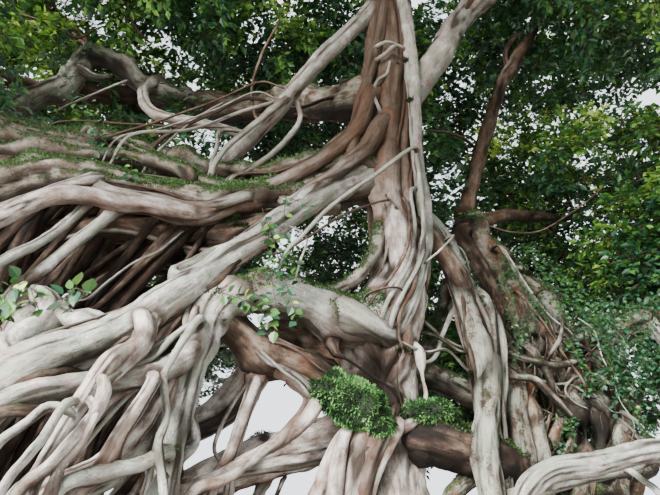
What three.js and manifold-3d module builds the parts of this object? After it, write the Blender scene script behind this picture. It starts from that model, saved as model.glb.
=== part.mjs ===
// Banyan tree: a spreading fig whose main stem stands on a lattice of fused aerial roots.
// Millimetres, +Z up. The origin is the middle of the flat cut under the trunk, at ground level.
// Each limb is a tapering tube along a smooth curve through a few guide points. The rule for the
// foliage is seeded, so every mass of leaves comes out the same each time.
import * as THREE from "three";
import { mergeVertices } from "three/addons/utils/BufferGeometryUtils.js";
import Module from "manifold-3d";

const wasm = await Module();
wasm.setup();

// Driving dimensions
const jointGap = 0.3; // clearance between touching pieces
const footDepth = 300; // how far a foot is drawn below ground before the flat cut
const limbSides = 7;
const limbRings = 6;
const longLimbPoints = 6; // a limb with this many guide points gets more rings
const longLimbExtra = 2;
const trunkSides = 15;
const trunkRings = 13;
const trunkFlutes = 5;
const fluteDepth = 0.09; // share of the radius
const footFlare = 420; // extra radius of the root flare at ground level
const footFlareHeight = 520; // height over which the flare fades to a third
const rootFlareShare = 0.45; // how much an aerial root widens at its foot
const rootFlareHeight = 260;
const sprayLength = 1700; // one solid leaf stands for a spray of leaves
const sprayWidth = 1300;
const sprayThickness = 46;
const sprayTip = 30; // width left at a spray's tip
const spraySpacing = 850; // middles of two sprays of a mass are never nearer than this
const shootCount = 4; // shoots from the stem of each mass
const twigCount = 18; // twigs on the shoots of each mass, each with its own part of the space
const twigTipLength = 780; // from a spray's broadest place to its tip
const longestTwig = 2300;
const shortestTwig = 700;
const shootReach = [0.6, 0.5, 0.4, 0.3, 0.2]; // shares of the reach that a shoot tries, far ones first
const twigReach = [0.74, 0.66, 0.58, 0.5, 0.42];
const shootSag = -0.15;
const shootKnee = 0.6; // share of its length at which a shoot bends
const firstShoot = 0.5; // share of the stem where the first shoot leaves
const lastShoot = 0.95;
const leanRange = 2.2; // turns of the sprays about their length, in radians
const shootTurn = 1.7; // how far each mass's shoots are turned from the last mass's, in radians
const twigTurn = 2.9;
const shootRadius = 34;
const twigRadius = 20;
const stalkRadius = 8; // of a twig where it leaves its shoot
const spaceMargin = 45; // kept clear between one mass's space and the next
const goldenAngle = Math.PI * (3 - Math.sqrt(5));

// Trunk: guide points up its middle, with the radius at each
const trunk = {
  way: [[0, 0, -footDepth], [-60, 20, 700], [-200, 40, 1700], [-190, 30, 2700], [-130, 0, 3300],
    [80, 0, 4100], [70, 0, 5200], [100, 0, 7000], [110, 60, 9200], [180, 250, 10500]],
  radii: [500, 460, 430, 400, 360, 300, 300, 310, 290, 190],
};

// Limbs, each from where it springs to its tip or foot. The radii run evenly from first to last.
// flat narrows the section across the depth, and foot marks a limb that stands on the ground.
const limbs = {
  second_trunk: {
    way: [[1270, 1330, 5560], [1670, 1200, 4580], [1860, 1100, 3730], [1800, 1000, 2700],
      [1730, 850, 1500], [1750, 800, -footDepth]],
    radii: [170, 240, 260, 270, 290, 330], foot: true, bark: "mossy_bark",
  },
  right_pillar: {
    way: [[150, 0, 5050], [560, 120, 4740], [810, 170, 4080], [940, 100, 3250], [930, 30, 2300],
      [880, 0, -footDepth]],
    radii: [110, 125, 145, 155, 150, 150], foot: true, bark: "pale_bark",
  },
  heel_arm: {
    way: [[-60, -60, 3600], [-590, -300, 3360], [-1070, -500, 3540], [-1660, -800, 3550]],
    radii: [260, 235, 195, 180], bark: "smooth_bark",
  },
  curved_prop_root: {
    way: [[-1560, -740, 3590], [-1920, -1000, 3250], [-1930, -1150, 2840], [-2050, -1300, 2200],
      [-2060, -1400, 1500], [-2000, -1450, -footDepth]],
    radii: [170, 165, 155, 135, 140, 150], foot: true, bark: "pale_bark",
  },
  shelf_root_top: {
    way: [[-40, 40, 5850], [-1150, 250, 5600], [-2480, 200, 5530], [-3810, 0, 5850],
      [-5200, -300, 6120], [-6350, -2100, 6600]],
    radii: [215, 175, 150, 145, 150, 95], bark: "mossy_bark",
  },
  shelf_root_middle: {
    way: [[-60, 0, 5500], [-1000, -120, 5150], [-1970, -200, 4990], [-2900, -400, 5020],
      [-3850, -620, 5060], [-4700, -800, 4700]],
    radii: [250, 205, 150, 150, 200, 230], bark: "mossy_bark",
  },
  left_pillar: {
    way: [[-4560, -780, 4780], [-5100, -900, 4050], [-5500, -950, 2600],
      [-5600, -1000, -footDepth]],
    radii: [190, 210, 190, 200], foot: true, bark: "pale_bark",
  },
  shelf_root_lip: {
    way: [[-620, -60, 4960], [-1590, -220, 5020], [-2270, -420, 4650], [-3000, -720, 4610],
      [-3620, -1050, 4500], [-4250, -1500, 3700], [-4900, -2100, 2000], [-5150, -2300, -footDepth]],
    radii: [150, 130, 130, 110, 100, 95, 100, 110], foot: true, bark: "smooth_bark",
  },
  shelf_root_under: {
    way: [[-1230, -70, 5060], [-1520, 30, 4790], [-1900, 60, 4610], [-2350, 40, 4580],
      [-3370, 0, 4700], [-4300, -100, 4560], [-5180, -700, 4000]],
    radii: [110, 150, 185, 190, 185, 170, 140], bark: "brown_bark",
  },
  straight_root_left: {
    way: [[-3080, -660, 4640], [-3520, -900, 3900], [-3800, -1250, 3150], [-4120, -1480, 1600],
      [-4200, -1500, -footDepth]],
    radii: [66, 58, 54, 56, 64], foot: true, bark: "pale_bark",
  },
  straight_root_far: {
    way: [[-3330, -590, 4900], [-3620, -1080, 3990], [-3850, -1470, 3450], [-4430, -1800, 1800],
      [-4680, -1900, -footDepth]],
    radii: [58, 50, 54, 58, 64], foot: true, bark: "pale_bark",
  },
  diagonal_root: {
    way: [[-40, -40, 5560], [-750, -380, 5000], [-1690, -820, 3980], [-2370, -1300, 3150],
      [-3190, -1900, 2370], [-3950, -2450, 1200], [-4250, -2650, -footDepth]],
    radii: [165, 145, 130, 140, 200, 230, 240], foot: true, bark: "pale_bark",
  },
  cross_root: {
    way: [[-1900, -1120, 2900], [-2140, -1500, 2560], [-2490, -1800, 2400], [-2980, -2200, 2180],
      [-3420, -2600, 1200], [-3560, -2700, -footDepth]],
    radii: [88, 92, 100, 84, 80, 90], foot: true, bark: "pale_bark",
  },
  fan_root_one: {
    way: [[-2350, -1330, 3160], [-2310, -1560, 2790], [-2400, -1980, 2500], [-2550, -2250, 1860],
      [-2640, -2560, 900], [-2680, -2650, -footDepth]],
    radii: [84, 74, 68, 54, 50, 60], foot: true, bark: "smooth_bark",
  },
  fan_root_two: {
    way: [[-2090, -1420, 2600], [-2230, -1520, 2180], [-2380, -1690, 1880], [-2780, -2080, 1560],
      [-3080, -2350, 800], [-3160, -2400, -footDepth]],
    radii: [76, 86, 76, 66, 62, 72], foot: true, bark: "smooth_bark",
  },
  fan_root_three: {
    way: [[-2020, -1290, 2200], [-2360, -1480, 1840], [-2640, -1780, 1560], [-2880, -1980, 800],
      [-2930, -2000, -footDepth]],
    radii: [70, 90, 84, 74, 84], foot: true, bark: "pale_bark",
  },
  under_heel_limb: {
    way: [[-1860, -900, 3290], [-1440, -560, 3010], [-950, -420, 2830], [-520, -320, 2690],
      [-150, -60, 2640]],
    radii: [150, 182, 176, 174, 180], bark: "brown_bark",
  },
  fork_root_left: {
    way: [[-1440, -520, 2960], [-1490, -560, 2620], [-1560, -610, 2330], [-1630, -670, 1900],
      [-1670, -750, -footDepth]],
    radii: [120, 72, 48, 44, 62], foot: true, bark: "smooth_bark",
  },
  fork_root_right: {
    way: [[-1400, -520, 2900], [-1120, -540, 2730], [-890, -560, 2530], [-1060, -640, 2240],
      [-1540, -900, 1900], [-2020, -1330, 1600]],
    radii: [92, 62, 80, 68, 62, 58], bark: "smooth_bark",
  },
  slab_root: {
    way: [[-150, 60, 2330], [-750, -40, 2210], [-1330, -300, 2000], [-1930, -560, 1800],
      [-2500, -840, 1480], [-3000, -1040, 700], [-3120, -1080, -footDepth]],
    radii: [225, 228, 214, 160, 130, 120, 140], flat: 0.6, foot: true, bark: "smooth_bark",
  },
  pale_slab_root: {
    way: [[-1420, -490, 2960], [-1790, -330, 2480], [-2210, -420, 2170], [-2640, -540, 1700],
      [-2980, -560, 900], [-3060, -560, -footDepth]],
    radii: [150, 172, 140, 104, 100, 115], flat: 0.6, foot: true, bark: "smooth_bark",
  },
  pillar_root_left: {
    way: [[-350, -250, 2460], [-700, -520, 1970], [-900, -620, 1500], [-1120, -740, 600],
      [-1150, -760, -footDepth]],
    radii: [104, 112, 108, 104, 120], foot: true, bark: "smooth_bark",
  },
  pillar_root_right: {
    way: [[-150, -260, 2500], [-430, -560, 2020], [-600, -660, 1500], [-760, -800, 600],
      [-800, -820, -footDepth]],
    radii: [118, 124, 124, 118, 130], foot: true, bark: "smooth_bark",
  },
  low_cross_limb: {
    way: [[-120, -180, 2350], [300, -240, 2210], [640, -120, 2110], [920, 20, 2040]],
    radii: [170, 195, 190, 150], bark: "mossy_bark",
  },
  second_strand: {
    way: [[1760, 1080, 4620], [2080, 880, 3980], [2200, 760, 3200], [2150, 660, 2400],
      [2170, 560, -footDepth]],
    radii: [130, 148, 152, 150, 165], foot: true, bark: "pale_bark",
  },
  low_right_bough: {
    way: [[1850, 1080, 3500], [2700, 1150, 3560], [3700, 1600, 3950], [4700, 2100, 4450]],
    radii: [170, 150, 125, 90], bark: "brown_bark",
  },
  far_pillar: {
    way: [[2760, 1140, 3560], [2760, 1000, 3000], [2660, 860, 2300], [2560, 800, 1400],
      [2540, 800, -footDepth]],
    radii: [100, 130, 150, 140, 155], foot: true, bark: "brown_bark",
  },
  ground_root: {
    way: [[3900, 1680, 4050], [3560, 500, 2950], [2900, -380, 2180], [1680, -700, 1940],
      [1050, -820, 1780], [700, -960, 1200], [620, -1000, -footDepth]],
    radii: [90, 105, 112, 100, 90, 84, 96], foot: true, bark: "pale_bark",
  },
  clinging_root: {
    way: [[250, -90, 9050], [345, -270, 8300], [370, -300, 6630], [350, -300, 5500],
      [370, -270, 4390], [150, -330, 3640], [-60, -330, 3200]],
    radii: [90, 100, 94, 78, 84, 88, 80], bark: "pale_bark",
  },
  descending_bough: {
    way: [[90, 20, 8800], [-110, -110, 8400], [-1160, -210, 6830], [-1870, -80, 5920],
      [-2380, 130, 5560]],
    radii: [120, 112, 110, 105, 95], bark: "pale_bark",
  },
  right_bough: {
    way: [[120, 0, 6400], [690, 20, 7310], [1680, 300, 9060], [3100, 200, 9950],
      [4800, -300, 9750]],
    radii: [175, 185, 190, 150, 95], bark: "smooth_bark",
  },
  slender_bough: {
    way: [[1270, 1400, 5500], [1750, 1640, 6900], [2410, 1900, 8600], [3500, 2250, 10700]],
    radii: [130, 122, 112, 80], bark: "brown_bark",
  },
  back_left_bough: {
    way: [[60, 60, 6950], [-500, 650, 7250], [-1610, 1400, 7900], [-3180, 2000, 8480],
      [-4400, 2220, 8760], [-5900, 2600, 9650]],
    radii: [290, 285, 265, 250, 220, 120], bark: "brown_bark",
  },
  far_left_bough: {
    way: [[-4350, 2220, 8760], [-5450, 1700, 8350], [-6500, 700, 7950]],
    radii: [180, 165, 100], bark: "brown_bark",
  },
  crown_left_bough: {
    way: [[110, 60, 9250], [-900, 150, 10300], [-2100, 200, 11000]],
    radii: [180, 135, 85], bark: "brown_bark",
  },
  crown_back_bough: {
    way: [[110, 60, 8900], [-50, 1300, 9800], [-250, 2700, 10600]],
    radii: [180, 135, 85], bark: "brown_bark",
  },
  crown_front_bough: {
    way: [[110, 50, 9300], [150, -950, 10250], [180, -2000, 10750]],
    radii: [170, 130, 80], bark: "brown_bark",
  },
  front_left_bough: {
    way: [[110, 30, 9000], [-900, -1200, 9650], [-2100, -3200, 9600], [-2850, -4700, 9300]],
    radii: [180, 160, 130, 85], bark: "brown_bark",
  },
  front_right_bough: {
    way: [[110, 30, 8850], [1100, -1050, 9500], [2300, -2900, 9450], [3050, -4300, 9100]],
    radii: [180, 160, 130, 85], bark: "brown_bark",
  },
  right_back_bough: {
    way: [[1290, 1380, 5420], [2300, 2400, 6200], [3700, 3700, 6900]],
    radii: [125, 115, 85], bark: "brown_bark",
  },
  back_bough: {
    way: [[80, 40, 6000], [200, 1900, 6500], [400, 4000, 6900], [520, 5300, 7050]],
    radii: [190, 165, 125, 85], bark: "brown_bark",
  },
  left_back_bough: {
    way: [[60, 40, 6250], [-1000, 1500, 6600], [-2500, 3300, 6800], [-3400, 4500, 6900]],
    radii: [185, 160, 125, 85], bark: "brown_bark",
  },
  low_back_bough: {
    way: [[1800, 1050, 3000], [2050, 2100, 3700], [2550, 3600, 4200]],
    radii: [160, 130, 85], bark: "brown_bark",
  },
};

// Masses of foliage: the limb whose tip carries each, its middle and its reach along x, y and z
const masses = {
  foliage_crown_top: { on: "trunk", middle: [200, 700, 12650], reach: [3300, 3000, 1850] },
  foliage_crown_left: { on: "crown_left_bough", middle: [-3900, 500, 11200], reach: [3100, 3100, 2400] },
  foliage_crown_back: { on: "crown_back_bough", middle: [-500, 4600, 10500], reach: [3900, 3200, 2700] },
  foliage_crown_right: { on: "slender_bough", middle: [4400, 2700, 11600], reach: [3100, 3100, 2600] },
  foliage_crown_front: { on: "crown_front_bough", middle: [200, -3600, 11400], reach: [3200, 2900, 1900] },
  foliage_right: { on: "right_bough", middle: [6700, -1200, 9200], reach: [3000, 3200, 2300] },
  foliage_right_back: { on: "right_back_bough", middle: [5300, 5300, 7800], reach: [3800, 3300, 3000] },
  foliage_back: { on: "back_bough", middle: [450, 7250, 7000], reach: [3400, 2700, 3400] },
  foliage_left_back: { on: "left_back_bough", middle: [-4500, 6000, 6900], reach: [3600, 3200, 3400] },
  foliage_upper_left: { on: "back_left_bough", middle: [-6700, 3400, 9500], reach: [3200, 3000, 2500] },
  foliage_left: { on: "far_left_bough", middle: [-7800, -200, 7700], reach: [2700, 2900, 2400] },
  foliage_left_front: { on: "shelf_root_top", middle: [-7000, -4000, 7300], reach: [2700, 2800, 2400] },
  foliage_front_left: { on: "front_left_bough", middle: [-3500, -6200, 9100], reach: [3100, 2800, 2100] },
  foliage_front_right: { on: "front_right_bough", middle: [3900, -5700, 8900], reach: [3200, 3000, 2100] },
  foliage_low_back: { on: "low_back_bough", middle: [2900, 5200, 3900], reach: [3200, 2500, 1900] },
  foliage_low_right: { on: "low_right_bough", middle: [6100, 2600, 5000], reach: [2800, 2700, 2100] },
};

const colours = {
  smooth_bark: "#b39a8b",
  pale_bark: "#b5aa9c",
  brown_bark: "#8a6f5b",
  mossy_bark: "#83795f",
  leaves: "#2f5a2b",
};

// A repeatable number from 0 to 1 for a key and a count
function chance(key, count) {
  const value = Math.sin(key * 12.9898 + count * 78.233) * 43758.5453;
  return value - Math.floor(value);
}

const vector = (point) => new THREE.Vector3(...point);

function curveThrough(way) {
  return new THREE.CatmullRomCurve3(way.map(vector), false, "centripetal");
}

// The radius at share t of the guide points, straight between them
function radiusAt(radii, t) {
  const place = Math.min(Math.max(t, 0), 1) * (radii.length - 1);
  const low = Math.min(Math.floor(place), radii.length - 2);
  return radii[low] + (radii[low + 1] - radii[low]) * (place - low);
}

// A closed skin over rings of points: ring i holds the points of one section
function skin(rings) {
  const sides = rings[0].length;
  const positions = rings.flat().flatMap((p) => [p.x, p.y, p.z]);
  const index = [];
  for (let i = 0; i < rings.length - 1; i++)
    for (let j = 0; j < sides; j++) {
      const a = i * sides + j;
      const b = i * sides + ((j + 1) % sides);
      index.push(a, b, b + sides, a, b + sides, a + sides);
    }
  const last = (rings.length - 1) * sides;
  for (let j = 1; j < sides - 1; j++) {
    index.push(0, j + 1, j);
    index.push(last, last + j, last + j + 1);
  }
  const geometry = new THREE.BufferGeometry();
  geometry.setAttribute("position", new THREE.Float32BufferAttribute(positions, 3));
  geometry.setIndex(index);
  return geometry;
}

// A geometry as a manifold-3d solid
function solidFrom(geometry) {
  const merged = mergeVertices(geometry, 1e-3);
  return new wasm.Manifold(new wasm.Mesh({
    numProp: 3,
    vertProperties: merged.attributes.position.array,
    triVerts: new Uint32Array(merged.index.array),
  }));
}

// Two unit vectors across a direction, the first as level as it can be
function acrossOf(direction) {
  const up = Math.abs(direction.z) > 0.999 ? new THREE.Vector3(0, 1, 0) : new THREE.Vector3(0, 0, 1);
  const level = new THREE.Vector3().crossVectors(up, direction).normalize();
  return [level, new THREE.Vector3().crossVectors(direction, level)];
}

// A vector turned square to a direction
function squareTo(direction, vectorAcross) {
  return vectorAcross.clone().addScaledVector(direction, -vectorAcross.dot(direction)).normalize();
}

// Rings of a tapering tube along a curve, with frames that turn as little as they can
function tubeRings(curve, radii, { sides, rings, flat = 1, grow = 0, foot = false }) {
  let [level] = acrossOf(curve.getTangent(0));
  const made = [];
  for (let i = 0; i <= rings; i++) {
    const t = i / rings;
    const along = curve.getTangent(t);
    const push = i === 0 ? -grow : i === rings ? grow : 0;
    const middle = curve.getPoint(t).addScaledVector(along, push);
    level = squareTo(along, level);
    const over = new THREE.Vector3().crossVectors(along, level);
    const spread = foot ? 1 + rootFlareShare * Math.exp(-Math.max(middle.z, 0) / rootFlareHeight) : 1;
    const radius = radiusAt(radii, t) * spread;
    made.push(Array.from({ length: sides }, (_, j) => {
      const turn = (2 * Math.PI * j) / sides;
      return middle.clone()
        .addScaledVector(level, Math.cos(turn) * (radius * flat + grow))
        .addScaledVector(over, Math.sin(turn) * (radius + grow));
    }));
  }
  return made;
}

// The trunk's rings lie level, with flutes that fade upwards and a flare at the foot
function trunkRingsOf(grow) {
  const curve = curveThrough(trunk.way);
  const made = [];
  for (let i = 0; i <= trunkRings; i++) {
    const t = i / trunkRings;
    const middle = curve.getPoint(t);
    const flare = Math.exp(-Math.max(middle.z, 0) / footFlareHeight);
    const radius = radiusAt(trunk.radii, t) + footFlare * flare;
    const depth = fluteDepth * (0.6 + 1.6 * flare);
    const ring = [];
    for (let j = 0; j < trunkSides; j++) {
      const turn = (2 * Math.PI * j) / trunkSides;
      const out = radius * (1 + depth * Math.cos(trunkFlutes * turn + 0.9 * t * Math.PI)) + grow;
      const x = middle.x + Math.cos(turn) * out;
      const y = middle.y + Math.sin(turn) * out;
      ring.push(new THREE.Vector3(x, y, middle.z));
    }
    made.push(ring);
  }
  return made;
}

// Everything below the ground is cut away level
function cutAtGround(solid) {
  return solid.trimByPlane([0, 0, 1], 0);
}

function limbSolid(limb, grow = 0) {
  const rings = limbRings + (limb.way.length >= longLimbPoints ? longLimbExtra : 0);
  const solid = solidFrom(skin(tubeRings(curveThrough(limb.way), limb.radii,
    { sides: limbSides, rings, flat: limb.flat, grow, foot: limb.foot })));
  return limb.foot ? cutAtGround(solid) : solid;
}

// The largest piece that a cut leaves
function largest(solid) {
  return solid.decompose().reduce((best, piece) => (piece.volume() > best.volume() ? piece : best));
}

// A three-sided ring, sharp on both sides and ridged on top
function threeSidedRing(middle, side, along, halfWidth, thickness) {
  const over = new THREE.Vector3().crossVectors(along, side);
  return [0, 1, 2].map((corner) => {
    const turn = Math.PI * (0.5 + (2 * corner) / 3);
    return middle.clone()
      .addScaledVector(side, Math.cos(turn) * halfWidth / Math.cos(Math.PI / 6))
      .addScaledVector(over, Math.sin(turn) * thickness / 1.5);
  });
}

// A three-sided twig along its points that broadens into a spray, widest at its last point but one,
// and runs out to a tip at its last
function twigWithSpray(points, startRadius, side, width) {
  const broad = points.length - 2;
  return skin(points.map((point, i) => {
    const next = points[Math.min(i + 1, points.length - 1)];
    const last = points[Math.max(i - 1, 0)];
    const along = next.clone().sub(last).normalize();
    const across = squareTo(along, side);
    if (i === broad) return threeSidedRing(point, across, along, width / 2, sprayThickness);
    if (i > broad) return threeSidedRing(point, across, along, sprayTip / 2, sprayThickness / 2);
    const radius = i === 0 ? startRadius : twigRadius;
    return threeSidedRing(point, across, along, radius, radius * 1.7);
  }));
}

// Points along a spray's middle and round its outline, to test where it may grow
function sprayTests(from, broad, tip, side, width) {
  const across = squareTo(tip.clone().sub(from).normalize(), side);
  const middle = [0.5, 0.75, 1].map((share) => from.clone().lerp(broad, share));
  const edges = [-1, 1].flatMap((way) => {
    const corner = broad.clone().addScaledVector(across, (way * width) / 2);
    return [corner, from.clone().lerp(corner, 0.7), tip.clone().lerp(corner, 0.5)];
  });
  return [...middle, ...edges, tip, tip.clone().lerp(broad, 0.5)];
}

// How far out a point lies in a mass's space: under 1 is inside
function spaceShare(mass, point) {
  const [x, y, z] = mass.middle;
  const [a, b, c] = mass.reach;
  return Math.hypot((point.x - x) / a, (point.y - y) / b, (point.z - z) / c);
}

// A point belongs to a mass where it is inside its reach and nearer to it than to its neighbours
function inOwnSpace(mass, point) {
  const own = spaceShare(mass, point);
  if (own > 1) return false;
  const edge = (2 * spaceMargin) / Math.min(...mass.reach);
  return Object.values(masses).every((other) => other === mass || spaceShare(other, point) > own + edge);
}

// One of several directions spread evenly all round
function spiralAim(number, count, turned) {
  const height = 1 - (2 * (number + 0.5)) / count;
  const turn = number * goldenAngle + turned;
  const level = Math.sqrt(1 - height * height);
  return new THREE.Vector3(Math.cos(turn) * level, Math.sin(turn) * level, height);
}

// Points along every limb with the radius there, to keep foliage off the wood
const woodSteps = 60; // places looked at along each limb
const woodSamples = [];
function sampleWood(way, radii) {
  const curve = curveThrough(way);
  for (let i = 0; i <= woodSteps; i++)
    woodSamples.push({ point: curve.getPoint(i / woodSteps), radius: radiusAt(radii, i / woodSteps) });
}

function clearOfWood(point, clearance) {
  return woodSamples.every((wood) => wood.point.distanceTo(point) > wood.radius + clearance);
}

// The seeded rule: one stem from the limb's tip, shoots that fan out from it on a golden spiral,
// twigs on each shoot, and a spray at every end. What leaves the space or meets wood is skipped.
function growMass(mass, key) {
  const carrier = mass.on === "trunk" ? trunk : limbs[mass.on];
  const curve = curveThrough(carrier.way);
  const outward = mass.on === "trunk" ? new THREE.Vector3(0, 0, 1) : curve.getTangent(1);
  const base = curve.getPoint(1).addScaledVector(outward, jointGap);
  const middle = vector(mass.middle);
  const reach = vector(mass.reach);
  const bend = base.clone().addScaledVector(outward, 0.35 * base.distanceTo(middle));
  const stemCurve = new THREE.QuadraticBezierCurve3(base, bend, middle);
  const stemRadii = [carrier.radii.at(-1) * 0.8, shootRadius * 1.2];
  const pieces = [solidFrom(skin(tubeRings(stemCurve, stemRadii, { sides: 5, rings: 3 })))];
  const sprayMiddles = [];
  const shootPlaces = [];
  const allowed = (points, clearance) =>
    points.every((p) => inOwnSpace(mass, p) && clearOfWood(p, clearance));
  // Adds a twig with its spray, where both fit, and tells whether it did
  const addTwig = (points, startRadius, lean, width) => {
    const [from, broad, tip] = points.slice(-3);
    const along = tip.clone().sub(from).normalize();
    const side = acrossOf(along)[0].applyAxisAngle(along, lean);
    if (sprayMiddles.some((other) => other.distanceTo(broad) < spraySpacing)) return false;
    const tests = [...points.slice(1, -2), ...sprayTests(from, broad, tip, side, width)];
    if (!allowed(tests, sprayThickness)) return false;
    sprayMiddles.push(broad);
    pieces.push(solidFrom(twigWithSpray(points, startRadius, side, width)));
    return true;
  };
  // A shoot sags from the stem to its own part of the space and ends in a spray
  const addShoot = (number) => {
    const share = firstShoot + (lastShoot - firstShoot) * (number / (shootCount - 1));
    const start = stemCurve.getPoint(share);
    const aim = spiralAim(number, shootCount, key * shootTurn);
    for (const far of shootReach) {
      const target = middle.clone().add(aim.clone().multiply(reach).multiplyScalar(far));
      const knee = start.clone().lerp(target, shootKnee);
      knee.z += shootSag * far * start.distanceTo(target);
      const along = target.clone().sub(knee).normalize();
      const broad = target.clone().addScaledVector(along, sprayLength * 0.5);
      const tip = target.clone().addScaledVector(along, sprayLength);
      const lean = (chance(key, number + 20) - 0.5) * leanRange;
      if (!addTwig([start, knee, target, broad, tip], shootRadius, lean, sprayWidth)) continue;
      for (const share of [0.35, 0.7]) shootPlaces.push(start.clone().lerp(knee, share));
      for (const share of [0, 0.4, 0.8]) shootPlaces.push(knee.clone().lerp(target, share));
      return;
    }
  };
  // A twig runs from the nearest place on a shoot or the stem to its own part of the space
  const addNearTwig = (number) => {
    const aim = spiralAim(number, twigCount, key * twigTurn);
    for (const far of twigReach) {
      const broad = middle.clone().add(aim.clone().multiply(reach).multiplyScalar(far));
      const place = shootPlaces.reduce((a, b) => (a.distanceTo(broad) < b.distanceTo(broad) ? a : b));
      if (place.distanceTo(broad) > longestTwig || place.distanceTo(broad) < shortestTwig) continue;
      const along = broad.clone().sub(place).normalize();
      const tip = broad.clone().addScaledVector(along, twigTipLength);
      const lean = (chance(key, number + 200) - 0.5) * leanRange;
      const width = sprayWidth * (0.8 + 0.3 * chance(key, number + 300));
      if (addTwig([place, broad, tip], stalkRadius, lean, width)) return;
    }
  };
  for (let i = 0; i < shootCount; i++) addShoot(i);
  for (const share of [0.6, 0.75, 0.9]) shootPlaces.push(stemCurve.getPoint(share));
  for (let i = 0; i < twigCount; i++) addNearTwig(i);
  return largest(wasm.Manifold.union(pieces));
}

function material(name) {
  return new THREE.MeshStandardMaterial({
    name, color: colours[name], roughness: name === "leaves" ? 0.5 : 0.85, metalness: 0,
  });
}

const finishes = Object.fromEntries(Object.keys(colours).map((name) => [name, material(name)]));
const tree = new THREE.Group();
tree.name = "banyan_tree";

function addNode(name, solid, finish) {
  const made = solid.getMesh();
  const geometry = new THREE.BufferGeometry();
  geometry.setAttribute("position", new THREE.BufferAttribute(new Float32Array(made.vertProperties), 3));
  geometry.setIndex(new THREE.BufferAttribute(new Uint32Array(made.triVerts), 1));
  const flatShaded = geometry.toNonIndexed();
  flatShaded.computeVertexNormals();
  const mesh = new THREE.Mesh(flatShaded, finishes[finish]);
  mesh.name = name;
  tree.add(mesh);
}

// Trunk first, then each limb cut clear of every limb before it
const trunkSolid = cutAtGround(solidFrom(skin(trunkRingsOf(0))));
addNode("trunk", trunkSolid, "smooth_bark");
sampleWood(trunk.way, trunk.radii);
const cutters = [cutAtGround(solidFrom(skin(trunkRingsOf(jointGap))))];
for (const [name, limb] of Object.entries(limbs)) {
  const whole = limbSolid(limb);
  const kept = largest(whole.subtract(wasm.Manifold.union(cutters)));
  addNode(name, kept, limb.bark);
  cutters.push(limbSolid(limb, jointGap));
  sampleWood(limb.way, limb.radii);
}
Object.entries(masses).forEach(([name, mass], number) => {
  addNode(name, growMass(mass, number + 1), "leaves");
});

export default tree;
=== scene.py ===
# Banyan tree: bark with relief on the stem, the lattice of aerial roots and the boughs, and a crown of
# leaves grown by the same seeded rule as the solids. Metres, +Z up.
import math
import bpy
import numpy as np
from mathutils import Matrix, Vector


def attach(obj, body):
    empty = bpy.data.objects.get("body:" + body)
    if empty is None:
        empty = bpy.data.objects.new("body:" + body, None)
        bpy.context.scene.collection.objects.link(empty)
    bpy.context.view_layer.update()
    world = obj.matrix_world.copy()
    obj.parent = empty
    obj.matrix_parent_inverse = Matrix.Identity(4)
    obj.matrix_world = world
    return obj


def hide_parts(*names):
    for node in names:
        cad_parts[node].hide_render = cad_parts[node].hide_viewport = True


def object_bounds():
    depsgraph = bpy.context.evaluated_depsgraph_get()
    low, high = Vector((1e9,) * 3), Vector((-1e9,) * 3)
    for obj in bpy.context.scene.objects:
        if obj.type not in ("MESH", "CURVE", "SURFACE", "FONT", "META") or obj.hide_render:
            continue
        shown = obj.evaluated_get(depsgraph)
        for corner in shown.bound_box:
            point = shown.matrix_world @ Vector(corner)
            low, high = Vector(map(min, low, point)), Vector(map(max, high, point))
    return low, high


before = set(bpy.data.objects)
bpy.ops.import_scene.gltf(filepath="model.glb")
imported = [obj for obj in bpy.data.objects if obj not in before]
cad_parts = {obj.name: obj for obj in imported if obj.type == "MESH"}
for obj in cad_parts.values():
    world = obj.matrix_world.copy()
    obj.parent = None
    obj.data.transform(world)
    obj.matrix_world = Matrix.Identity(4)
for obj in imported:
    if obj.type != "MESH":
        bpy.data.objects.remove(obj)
cadBox = [list(corner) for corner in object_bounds()]
print("frame loaded, box", cadBox)

goldenAngle = math.pi * (3 - math.sqrt(5))
# The photograph's camera: where it stands, how far it looks up, its focal length and picture in pixels. It
# also places what is followed on the photograph, as pixels across and down with a depth along Y in metres.
photograph = {"eye": (-0.75, -6.0, 1.5), "tilt": math.radians(26), "focal": 550, "size": (660, 495)}

trunk = {"bark": "smooth", "way": [(0, 0, -0.3), (-0.06, 0.02, 0.7), (-0.2, 0.04, 1.7), (-0.19, 0.03, 2.7),
        (-0.13, 0, 3.3), (0.08, 0, 4.1), (0.07, 0, 5.2), (0.1, 0, 7), (0.11, 0.06, 9.2), (0.18, 0.25, 10.5)],
    "radii": [0.5, 0.46, 0.43, 0.4, 0.36, 0.3, 0.3, 0.31, 0.29, 0.19],
    "flutes": 5, "fluteDepth": 0.09, "fluteTwist": 0.9 * math.pi, "flare": 0.42, "flareHeight": 0.52}

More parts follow.
